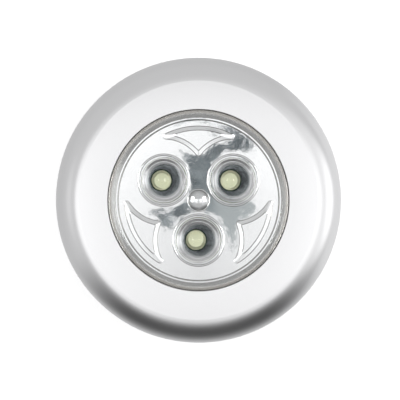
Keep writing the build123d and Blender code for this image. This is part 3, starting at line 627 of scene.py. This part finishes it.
# Shrink sleeve: glossy slate plastic film, with the bright can bare at both ends
for number in (1, 2, 3):
    name = f"cell_{number}"
    low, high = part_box(name)
    sleeve, tree, shader = new_finish(f"shrink_sleeve_{number}", sleeve_colour, {"Roughness": 0.24})
    place = add_node(tree, "ShaderNodeTexCoord").outputs["Object"]
    along = add_node(tree, "ShaderNodeSeparateXYZ", None, {0: place}).outputs[1]
    rear, front = (high.y, low.y) if number == 2 else (low.y, high.y)
    share = add_node(tree, "ShaderNodeMapRange", {"From Min": rear, "From Max": front}, {"Value": along})
    bands = (
        (sleeve_share, sleeve_colour),
        (band_share, band_colour),
        (band_end_share, sleeve_colour),
        (sleeve_end_share, can_colour),
    )
    bare = ((sleeve_share, "#000000"), (sleeve_end_share, "#ffffff"))
    for socket, first, stops in (("Base Color", can_colour, bands), ("Metallic", "#ffffff", bare)):
        ramp = add_node(tree, "ShaderNodeValToRGB", None, {"Fac": share.outputs["Result"]})
        tree.links.new(ramp.outputs["Color"], shader.inputs[socket])
        ramp.color_ramp.interpolation = "CONSTANT"
        ramp.color_ramp.elements.remove(ramp.color_ramp.elements[1])
        ramp.color_ramp.elements[0].color = linear(first)
        for position, colour in stops:
            ramp.color_ramp.elements.new(position).color = linear(colour)
    nodes[name].data.materials[0] = sleeve

# Contacts: strips and conical coils of spring steel that put the cells in series, pressed into the
# ends of the bay
nickel_wipe_size = 0.5 * mm

# Nickel plate: a warm, fairly bright metal with faint wipe marks
nickel = plated("nickel_plated_steel", "#d3d0c8", nickel_wipe_size, roughness=(0.2, 0.35))
for name in ("positive_contact", "negative_contact", "bridge_contact_1", "bridge_contact_2"):
    nodes[name].data.materials[0] = nickel

# Screws: pan heads with a cross recess and a rolled thread, four that hold the tray up to the
# housing and three that hold the board to the tray
thread_pitch = 0.8 * mm
thread_side_count = 16
ridge_side_count = 4
head_side_count = 32
head_ring_count = 6
head_curve_power = 4.0
board_screw_count = 3
core_share = 0.74
point_share = 1.4
head_shoulder_share = 0.72
recess_length_share = 1.1
recess_width_share = 0.24
recess_depth_share = 0.55

# Zinc plate: cool grey metal, a little cloudy
zinc = plated("zinc_plated_steel", "#c4c7ca", nickel_wipe_size, roughness=(0.25, 0.4))

tree, given = new_tree(
    "pan_head_screw",
    (
        "Core Radius", "Thread Depth", "Shaft Length", "Point Length", "Thread Length", "Thread Turns",
        "Head Radius", "Head Height", "Recess Length", "Recess Width", "Recess Depth", "Turn Over",
    ),
)
core = given["Core Radius"]
shaft = add_node(
    tree,
    "GeometryNodeMeshCone",
    {"Vertices": thread_side_count},
    {"Radius Top": core, "Radius Bottom": core, "Depth": given["Shaft Length"]},
)
point = add_node(
    tree,
    "GeometryNodeMeshCone",
    {"Vertices": thread_side_count, "Radius Top": 0.0},
    {"Radius Bottom": core, "Depth": given["Point Length"]},
)
point_shift = add_node(tree, "ShaderNodeCombineXYZ", None, {2: given["Shaft Length"]}).outputs[0]
point = add_node(
    tree, "GeometryNodeTransform", None, {"Geometry": point.outputs["Mesh"], "Translation": point_shift}
)
helix = add_node(
    tree,
    "GeometryNodeCurveSpiral",
    {"Resolution": thread_side_count},
    {
        "Rotations": given["Thread Turns"],
        "Start Radius": core,
        "End Radius": core,
        "Height": given["Thread Length"],
    },
)
ridge = add_node(
    tree,
    "GeometryNodeCurvePrimitiveCircle",
    {"Resolution": ridge_side_count},
    {"Radius": given["Thread Depth"]},
)
thread = add_node(
    tree,
    "GeometryNodeCurveToMesh",
    {"Fill Caps": True},
    {"Curve": helix.outputs[0], "Profile Curve": ridge.outputs[0]},
)
head = add_node(
    tree,
    "GeometryNodeMeshCylinder",
    {"Vertices": head_side_count, "Side Segments": head_ring_count},
    {"Radius": given["Head Radius"], "Depth": given["Head Height"]},
)
spot = add_node(tree, "GeometryNodeInputPosition").outputs[0]
height = add_node(tree, "ShaderNodeSeparateXYZ", None, {0: spot}).outputs[2]
half_head = add_node(
    tree, "ShaderNodeMath", {"operation": "DIVIDE", 1: 2}, {0: given["Head Height"]}
).outputs[0]
rise = add_node(tree, "ShaderNodeMath", {"operation": "SUBTRACT"}, {0: half_head, 1: height}).outputs[0]
rise = add_node(
    tree, "ShaderNodeMath", {"operation": "DIVIDE"}, {0: rise, 1: given["Head Height"]}
).outputs[0]
bend = add_node(tree, "ShaderNodeMath", {"operation": "POWER", 1: head_curve_power}, {0: rise})
draw_in = add_node(
    tree, "ShaderNodeMapRange", {"To Min": 1.0, "To Max": head_shoulder_share}, {"Value": bend.outputs[0]}
).outputs["Result"]
waist = add_node(tree, "ShaderNodeCombineXYZ", {2: 1.0}, {0: draw_in, 1: draw_in})
drawn = add_node(tree, "ShaderNodeVectorMath", {"operation": "MULTIPLY"}, {0: spot, 1: waist.outputs[0]})
head = add_node(
    tree, "GeometryNodeSetPosition", None, {"Geometry": head.outputs["Mesh"], "Position": drawn.outputs[0]}
)
slots = []
for first, second in (("Recess Length", "Recess Width"), ("Recess Width", "Recess Length")):
    slot_size = add_node(
        tree, "ShaderNodeCombineXYZ", None, {0: given[first], 1: given[second], 2: given["Recess Depth"]}
    )
    slots.append(add_node(tree, "GeometryNodeMeshCube", None, {"Size": slot_size.outputs[0]}).outputs[0])
head_drop = add_node(tree, "ShaderNodeMath", {"operation": "SUBTRACT", 0: 0}, {1: half_head})
head_shift = add_node(tree, "ShaderNodeCombineXYZ", None, {2: head_drop.outputs[0]}).outputs[0]
cross = add_node(tree, "GeometryNodeJoinGeometry", None, {0: slots})
cross = add_node(
    tree, "GeometryNodeTransform", None, {"Geometry": cross.outputs[0], "Translation": head_shift}
)
head = add_node(
    tree,
    "GeometryNodeMeshBoolean",
    {"operation": "DIFFERENCE", "solver": "EXACT", "Self Intersection": True},
    {"Mesh 1": head.outputs[0], "Mesh 2": cross.outputs[0]},
)
head = add_node(
    tree, "GeometryNodeTransform", None, {"Geometry": head.outputs[0], "Translation": head_shift}
)
solids = [shaft.outputs["Mesh"], point.outputs[0], thread.outputs[0], head.outputs[0]]
whole = add_node(tree, "GeometryNodeJoinGeometry", None, {0: solids})
tip_over = add_node(tree, "ShaderNodeCombineXYZ", None, {0: given["Turn Over"]})
heading = add_node(tree, "FunctionNodeEulerToRotation", None, {0: tip_over.outputs[0]})
copies = add_node(
    tree,
    "GeometryNodeInstanceOnPoints",
    None,
    {"Points": given["Points"], "Instance": whole.outputs[0], "Rotation": heading.outputs[0]},
)
end_tree(tree, copies.outputs[0], zinc)

for name, shaft_radius, head_radius, head_height, turn_over in (
    ("tray_screws", 0.95 * mm, 1.9 * mm, 1.3 * mm, 0.0),
    ("board_screws", 0.8 * mm, 1.7 * mm, 1.1 * mm, pi),
):
    low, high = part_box(name)
    length = high.z - low.z - head_height
    point_length = point_share * shaft_radius
    screw_sizes = {
        "Core Radius": shaft_radius * core_share,
        "Thread Depth": shaft_radius * (1 - core_share),
        "Shaft Length": length - point_length,
        "Point Length": point_length,
        "Thread Length": length - point_length - thread_pitch,
        "Thread Turns": (length - point_length - thread_pitch) / thread_pitch,
        "Head Radius": head_radius,
        "Head Height": head_height,
        "Recess Length": head_radius * recess_length_share,
        "Recess Width": head_radius * recess_width_share,
        "Recess Depth": 2 * head_height * recess_depth_share,
        "Turn Over": turn_over,
    }
    if turn_over:
        reach = high.y - head_radius
        turns = [pi / 2 + 2 * pi * n / board_screw_count for n in range(board_screw_count)]
        places = [(reach * cos(turn), reach * sin(turn), high.z - head_height) for turn in turns]
    else:
        x, y = high.x - head_radius, high.y - head_radius
        places = [(x, y), (-x, y), (-x, -y), (x, -y)]
        places = [(*spot, low.z + head_height) for spot in places]
    screws = grow(f"threaded_{name}", tree, screw_sizes, places, zinc)
    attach(screws, "body")
    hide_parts(name)

# Back cover: a round ABS lid with a bayonet skirt and two finger grips, turned 25 degrees to come
# off for the cells
cover_pore_size = 0.35 * mm
cover_pore_depth = 0.03 * mm

# Spark-eroded ABS: mid grey with an even, fine pitted texture that hides wear
cover_colours = ("#75777a", "#7d7f82")
grey_abs = moulded(
    "spark_eroded_grey_abs", cover_colours, cover_pore_size, cover_pore_depth, roughness=0.52
)[0]
nodes["back_cover"].data.materials[0] = grey_abs

# Adhesive pad: a disc of double-sided polyethylene foam tape, stuck in the cover's recess, with
# its paper liner still on
liner_colours = ("#ddd5bd", "#e8e1cc")
liner_thickness = 0.12 * mm
liner_cloud_size = 4 * mm
liner_cloud_detail = 6.0
foam_cell_size = 0.45 * mm
foam_cell_depth = 0.06 * mm

# Foam tape: white closed cells at the edge, and a smooth cream silicone-coated paper on the face
foam, tree, shader, tone = moulded(
    "foam_tape", ("#e2e2dc", "#f0f0eb"), foam_cell_size, foam_cell_depth, roughness=0.7
)
place = add_node(tree, "ShaderNodeTexCoord").outputs["Object"]
height = add_node(tree, "ShaderNodeSeparateXYZ", None, {0: place}).outputs[2]
is_foam = add_node(
    tree, "ShaderNodeMath", {"operation": "GREATER_THAN", 1: liner_thickness}, {0: height}
).outputs[0]
clouds = add_node(
    tree,
    "ShaderNodeTexNoise",
    {"Scale": 1 / liner_cloud_size, "Detail": liner_cloud_detail},
    {"Vector": place},
)
liner = add_node(
    tree,
    "ShaderNodeMix",
    {"data_type": "RGBA", colour_a: linear(liner_colours[0]), colour_b: linear(liner_colours[1])},
    {0: clouds.outputs["Fac"]},
).outputs[mixed]
face = add_node(
    tree,
    "ShaderNodeMix",
    {"data_type": "RGBA"},
    {0: is_foam, colour_a: liner, colour_b: tone.outputs[mixed]},
)
tree.links.new(face.outputs[mixed], shader.inputs["Base Color"])
nodes["adhesive_pad"].data.materials[0] = foam

# Floor: a sheet of white paper under the light. Where the camera, metal or glass sees it, it is
# lifted to white, so it stays a plain ground and still shows the light's shadow.
floor_side = 3.0
floor_gap = 0.05 * mm
floor_lift = 0.3
paper_colours = ("#e5e5e5", "#e7e7e7")
paper_fibre_size = 0.6 * mm

# Paper: matt white, with fibres that hardly show
paper, tree, shader = new_finish("white_paper", paper_colours[1], {"Roughness": 0.9})
place = add_node(tree, "ShaderNodeTexCoord").outputs["Object"]
fibre = add_node(tree, "ShaderNodeTexNoise", {"Scale": 1 / paper_fibre_size}, {"Vector": place})
tone = add_node(
    tree,
    "ShaderNodeMix",
    {"data_type": "RGBA", colour_a: linear(paper_colours[0]), colour_b: linear(paper_colours[1])},
    {0: fibre.outputs["Fac"]},
)
tree.links.new(tone.outputs[mixed], shader.inputs["Base Color"])
path = add_node(tree, "ShaderNodeLightPath").outputs
seen = path["Is Camera Ray"]
for ray in ("Is Glossy Ray", "Is Transmission Ray"):
    seen = add_node(tree, "ShaderNodeMath", {"operation": "MAXIMUM"}, {0: seen, 1: path[ray]}).outputs[0]
lift = add_node(tree, "ShaderNodeMath", {"operation": "MULTIPLY", 1: floor_lift}, {0: seen})
tree.links.new(lift.outputs[0], shader.inputs["Emission Strength"])
shader.inputs["Emission Color"].default_value = linear("#ffffff")


def stage_sheet(name, outlines, material):
    """A thin stage piece of flat faces, one for each outline of (x, y, z) points."""
    sheet = bmesh.new()
    for outline in outlines:
        sheet.faces.new([sheet.verts.new(corner) for corner in outline])
    piece = new_piece(name, sheet, material)
    return piece


half = floor_side / 2
floor_corners = [(-half, -half), (half, -half), (half, half), (-half, half)]
stage_sheet("floor", [[(x, y, -floor_gap) for x, y in floor_corners]], paper)

# Grey cloth: a sheet on the floor that only the silver and the mirror show, in the lower part of
# the rim. It is brighter on the right.
cloth_height = 0.4 * mm
cloth_brightness = 0.62

# On the right: its brightness, and the middle, reach and edge of that patch in degrees
cloth_right = (0.85, (0, 0), 10, 50)


def new_glow(name):
    """A studio card's material, which only glows, and its node tree and emission shader."""
    material = bpy.data.materials.new(name)
    material.use_nodes = True
    tree = material.node_tree
    tree.nodes.clear()
    emission = add_node(tree, "ShaderNodeEmission")
    add_node(tree, "ShaderNodeOutputMaterial", None, {"Surface": emission.outputs[0]})
    return material, tree, emission


def level_direction(tree, place):
    """The level direction from the middle of the light to a place."""
    level = add_node(tree, "ShaderNodeVectorMath", {"operation": "MULTIPLY", 1: (1, 1, 0)}, {0: place})
    return add_node(
        tree, "ShaderNodeVectorMath", {"operation": "NORMALIZE"}, {0: level.outputs[0]}
    ).outputs[0]


def patch_share(tree, way, toward, reach, edge):
    """The share that a direction has in a soft round patch: its middle, reach and edge in degrees."""
    turn, rise = radians(toward[0]), radians(toward[1])
    aim = (cos(turn) * cos(rise), sin(turn) * cos(rise), sin(rise))
    near = add_node(tree, "ShaderNodeVectorMath", {"operation": "DOT_PRODUCT", 1: aim}, {0: way})
    return add_node(
        tree,
        "ShaderNodeMapRange",
        {
            "interpolation_type": "SMOOTHSTEP",
            "From Min": cos(radians(reach + edge)),
            "From Max": cos(radians(reach)),
        },
        {"Value": near.outputs["Value"]},
    ).outputs["Result"]


# The Mix node's number inputs, A and B
number_a, number_b = 2, 3


def light_patch(tree, way, light, brightness, toward, reach, edge):
    """Blends a light to another brightness in a soft round patch."""
    share = patch_share(tree, way, toward, reach, edge)
    return add_node(
        tree, "ShaderNodeMix", {"data_type": "FLOAT", number_b: brightness}, {0: share, number_a: light}
    ).outputs[0]


def reflected_only(piece):
    """Hides a studio card from all but reflections, so it casts no light or shadow."""
    piece.visible_camera = False
    piece.visible_diffuse = False
    piece.visible_shadow = False


# Cloth: an even grey glow, so its own weave never shows in the silver
cloth, tree, emission = new_glow("grey_cloth")
place = add_node(tree, "ShaderNodeTexCoord").outputs["Object"]
light = add_node(tree, "ShaderNodeValue").outputs[0]
light.default_value = cloth_brightness
light = light_patch(tree, level_direction(tree, place), light, *cloth_right)
tree.links.new(light, emission.inputs["Strength"])
reflected_only(stage_sheet("grey_cloth", [[(x, y, cloth_height) for x, y in floor_corners]], cloth))

# Dark screen: a curved card close to the light on the near side, which darkens that side of its rim.
# Its edges fade out, so that no end of it shows in the silver.
screen_radius = 54 * mm
screen_height = 86 * mm
screen_dark_low, screen_dark_high = 30 * mm, 38 * mm
screen_foot_share = 0.1
screen_toward, screen_reach, screen_edge = (-90, 0), 28, 40
screen_half_turn = 72
screen_side_count = 24
screen_brightness = 0.08

# Dark card: it glows faintly, and is clear where it fades out
screen, tree, emission = new_glow("dark_screen")
emission.inputs["Strength"].default_value = screen_brightness
place = add_node(tree, "ShaderNodeTexCoord").outputs["Object"]
height = add_node(tree, "ShaderNodeSeparateXYZ", None, {0: place}).outputs[2]
share = patch_share(tree, level_direction(tree, place), screen_toward, screen_reach, screen_edge)
for edge in (
    {"From Min": screen_height, "From Max": screen_dark_high},
    {"From Max": screen_dark_low, "To Min": screen_foot_share},
):
    fade = add_node(
        tree, "ShaderNodeMapRange", {"interpolation_type": "SMOOTHSTEP", **edge}, {"Value": height}
    ).outputs["Result"]
    share = add_node(tree, "ShaderNodeMath", {"operation": "MULTIPLY"}, {0: share, 1: fade}).outputs[0]
faded = add_node(tree, "ShaderNodeBsdfTransparent").outputs[0]
blended = add_node(tree, "ShaderNodeMixShader", None, {0: share, 1: faded, 2: emission.outputs[0]})
tree.links.new(blended.outputs[0], tree.nodes["Material Output"].inputs["Surface"])

columns = []
for n in range(screen_side_count + 1):
    turn = radians(screen_toward[0] - screen_half_turn + 2 * screen_half_turn * n / screen_side_count)
    columns.append((screen_radius * cos(turn), screen_radius * sin(turn)))
strips = [
    [(*near, cloth_height), (*near, screen_height), (*far, screen_height), (*far, cloth_height)]
    for near, far in zip(columns, columns[1:])
]
reflected_only(stage_sheet("dark_screen", strips, screen))

# Camera and stand: a dark cut-out above the light, which the flat mirror shows between its cups
# and the floor of each cup shows round its LED. The points are places on the mirror in mm, thrown
# up to the card's height.
card_height = 0.6
card_gap = 0.5 * mm
camera_reflection = 2.032
cup_disc_radius = 4.0
cup_disc_sides = 24
cup_reach = 10.0
cup_turns = (5 * pi / 6, pi / 6, -pi / 2)
stand_outline = [
    (-5.5, 12.9), (-2.6, 9.0), (-2.5, 3.0), (-3.5, 0.4), (-5.5, -1.5), (-9.0, -2.7), (-12.6, -2.5),
    (-12.9, -3.0), (-10.2, -3.7), (-9.5, -5.2), (-8.8, -6.4), (-6.9, -7.3), (-5.9, -5.2), (-4.2, -3.7),
    (0, -2), (5.35, -4.3), (7.3, -8.5), (7.9, -12.3), (8.5, -11.8), (9.4, -10.4), (9.7, -6.9),
    (10.5, -4.65), (14.1, -2.75), (14.1, -0.5), (9.0, 0.5), (4.0, 2.0), (2.8, 8.4), (6.0, 12.3),
    (9.2, 12.6), (13.65, 12.25), (11.4, 15.8), (8.5, 17.7), (4.1, 19.3), (6.5, 17.0), (8.9, 14.8),
    (4.1, 14.2), (0.9, 11.3), (-2.6, 11.4),
]
arm_outlines = [
    [
        (4.4, 18.7), (1.4, 19.4), (-2.4, 19.6), (-5.4, 18.8), (-7.6, 17.8), (-5.5, 19.2),
        (-2.6, 20.1), (1.5, 19.9),
    ],
    [(1.4, 18.0), (3.6, 17.7), (6.2, 16.6), (4.6, 16.5), (3.0, 17.0)],
    [(-5.8, 13.2), (-3.6, 11.6), (-2.6, 10.0), (-3.3, 10.2), (-4.4, 11.8)],
]
window_outline = [(-7.6, -5.0), (-5.6, -5.0), (-5.6, -4.0), (-7.6, -4.0)]
cup_outlines = [
    round_outline(cup_reach * cos(turn), cup_reach * sin(turn), cup_disc_radius, cup_disc_sides)
    for turn in cup_turns
]
throw = mm * camera_reflection

# Dark grey card: mottled in two greys, and paler at its right near corner. The pale part and the
# mottling are given in mm on the mirror.
card_greys = ("#5a6266", "#98a0a3")
card_pale_grey = "#b8bebf"
pale_right_start, pale_right_end = 2, 6
pale_near_start = 4
mottle_size = 3.5
mottle_noise = {"Detail": 3.0, "Roughness": 0.6}
mottle_low, mottle_high = 0.4, 0.62
dark_card, tree, emission = new_glow("dark_grey_card")
place = add_node(tree, "ShaderNodeTexCoord").outputs["Object"]
axes = add_node(tree, "ShaderNodeSeparateXYZ", None, {0: place}).outputs
to_right, to_near = [
    add_node(
        tree,
        "ShaderNodeMapRange",
        {"interpolation_type": "SMOOTHSTEP", "From Min": start * throw, "From Max": end * throw},
        {"Value": axis},
    ).outputs["Result"]
    for axis, start, end in ((axes[0], pale_right_start, pale_right_end), (axes[1], pale_near_start, 0))
]
mottle = add_node(
    tree, "ShaderNodeTexNoise", {"Scale": 1 / (mottle_size * throw), **mottle_noise}, {"Vector": place}
)
mottle = add_node(
    tree,
    "ShaderNodeMapRange",
    {"From Min": mottle_low, "From Max": mottle_high},
    {"Value": mottle.outputs["Fac"]},
)
dark = add_node(
    tree,
    "ShaderNodeMix",
    {"data_type": "RGBA", colour_a: linear(card_greys[0]), colour_b: linear(card_greys[1])},
    {0: mottle.outputs["Result"]},
).outputs[mixed]
pale = add_node(tree, "ShaderNodeMath", {"operation": "MULTIPLY"}, {0: to_right, 1: to_near})
tone = add_node(
    tree,
    "ShaderNodeMix",
    {"data_type": "RGBA", colour_b: linear(card_pale_grey)},
    {0: pale.outputs[0], colour_a: dark},
)
tree.links.new(tone.outputs[mixed], emission.inputs["Color"])

# Charcoal card and pale card: one even tone each
charcoal_card, tree, emission = new_glow("charcoal_card")
emission.inputs["Color"].default_value = linear("#55585a")
pale_card, tree, emission = new_glow("pale_card")
emission.inputs["Color"].default_value = linear("#f0f2f3")
for name, outlines, material in (
    ("stand_card", [stand_outline, *arm_outlines], dark_card),
    ("camera_card", cup_outlines, charcoal_card),
    ("window_card", [window_outline], pale_card),
):
    card_height -= card_gap
    outlines = [[(x * throw, y * throw, card_height) for x, y in outline] for outline in outlines]
    reflected_only(stage_sheet(name, outlines, material))

# Studio: light grey walls, a broad soft box across the ceiling, and smaller ones on the right and
# left walls
wall_brightness = 0.65
ceiling_brightness = (0.775, 1.33)
ceiling_ramp = 0.06
ceiling_side_brightness = (1.38, 1.95)
ceiling_side_ramp = 0.15
ceiling_middle_width = 0.16
world = bpy.data.worlds.new("studio")
bpy.context.scene.world = world
world.use_nodes = True
tree = world.node_tree
tree.nodes.clear()
way = add_node(tree, "ShaderNodeTexCoord").outputs["Generated"]
light = add_node(tree, "ShaderNodeValue").outputs[0]
light.default_value = wall_brightness

# The walls' soft boxes: the turn and rise of each one's middle, its reach and its edge, in degrees
for brightness, toward, reach, edge in (
    (1.0, (0, 48), 15, 20),
    (1.5, (0, 24), 8, 18),
    (0.85, (180, 34), 4, 14),
):
    light = light_patch(tree, way, light, brightness, toward, reach, edge)

# The ceiling's soft box: where each edge starts and ends, across and along it for each unit of
# height, and how far down it reaches
axes = add_node(tree, "ShaderNodeSeparateXYZ", None, {0: way}).outputs
across = add_node(tree, "ShaderNodeMath", {"operation": "DIVIDE"}, {0: axes[0], 1: axes[2]})
across = add_node(tree, "ShaderNodeMath", {"operation": "ABSOLUTE"}, {0: across.outputs[0]}).outputs[0]
along = add_node(tree, "ShaderNodeMath", {"operation": "DIVIDE"}, {0: axes[1], 1: axes[2]}).outputs[0]
edges = [
    add_node(
        tree,
        "ShaderNodeMapRange",
        {"interpolation_type": "SMOOTHSTEP", "From Min": outside, "From Max": inside},
        {"Value": value},
    ).outputs["Result"]
    for value, outside, inside in (
        (across, 0.62, 0.34),
        (along, 0.2, 0.02),
        (along, -0.46, -0.16),
        (axes[2], 0.0, 0.1),
    )
]
box = edges[0]
for edge in edges[1:]:
    box = add_node(tree, "ShaderNodeMath", {"operation": "MULTIPLY"}, {0: box, 1: edge}).outputs[0]

# It is brighter on its far half and towards its two ends
middle, ends = [
    add_node(
        tree,
        "ShaderNodeMapRange",
        {"From Min": -ramp, "From Max": ramp, "To Min": lights[0], "To Max": lights[1]},
        {"Value": along},
    ).outputs["Result"]
    for ramp, lights in ((ceiling_ramp, ceiling_brightness), (ceiling_side_ramp, ceiling_side_brightness))
]
ceiling = add_node(
    tree,
    "ShaderNodeMapRange",
    {"From Max": ceiling_middle_width},
    {"Value": across, "To Min": middle, "To Max": ends},
).outputs["Result"]
light = add_node(
    tree, "ShaderNodeMix", {"data_type": "FLOAT"}, {0: box, number_a: light, number_b: ceiling}
)

# The camera sees plain white past the floor
path = add_node(tree, "ShaderNodeLightPath")
light = add_node(
    tree,
    "ShaderNodeMix",
    {"data_type": "FLOAT", number_b: 1.0},
    {0: path.outputs["Is Camera Ray"], number_a: light.outputs[0]},
)
studio = add_node(
    tree, "ShaderNodeBackground", {"Color": linear("#ffffff")}, {"Strength": light.outputs[0]}
)
add_node(tree, "ShaderNodeOutputWorld", None, {"Surface": studio.outputs[0]})

# Lamps: two soft boxes left and right of the camera, which light what is matt. No reflection shows
# them, because the studio has its own.
lamp_watts = 3.25
lamp_place = Vector((0.6, 0.1, 0.8))
lamp_width, lamp_depth = 0.5, 0.3
for side in (-1, 1):
    lamp_data = bpy.data.lights.new("softbox", "AREA")
    lamp_data.shape = "RECTANGLE"
    lamp_data.size = lamp_width
    lamp_data.size_y = lamp_depth
    lamp_data.energy = lamp_watts
    lamp = bpy.data.objects.new("softbox", lamp_data)
    bpy.context.scene.collection.objects.link(lamp)
    lamp.location = (side * lamp_place.x, lamp_place.y, lamp_place.z)
    lamp.rotation_mode = "QUATERNION"
    lamp.rotation_quaternion = lamp.location.to_track_quat("Z", "Y")
    lamp.visible_glossy = False

# Camera: straight above the light, as the photograph was taken, and far off with a long focal
# length, so the light's height hardly changes its outline
photo_width = 101.0 * mm
focal_length = 200.0
sensor_width = 36.0
shoulder_height = 21.0 * mm
centre_offset = (0.38 * mm, 0.05 * mm)
nearest_view = 0.01
farthest_view = 10.0
camera_data = bpy.data.cameras.new("camera")
camera_data.lens = focal_length
camera_data.sensor_width = sensor_width
camera_data.clip_start = nearest_view
camera_data.clip_end = farthest_view
camera = bpy.data.objects.new("camera", camera_data)
bpy.context.scene.collection.objects.link(camera)
camera_height = shoulder_height + photo_width * focal_length / sensor_width
camera.location = (*centre_offset, camera_height)
bpy.context.scene.camera = camera
bpy.context.scene.view_settings.view_transform = "Standard"
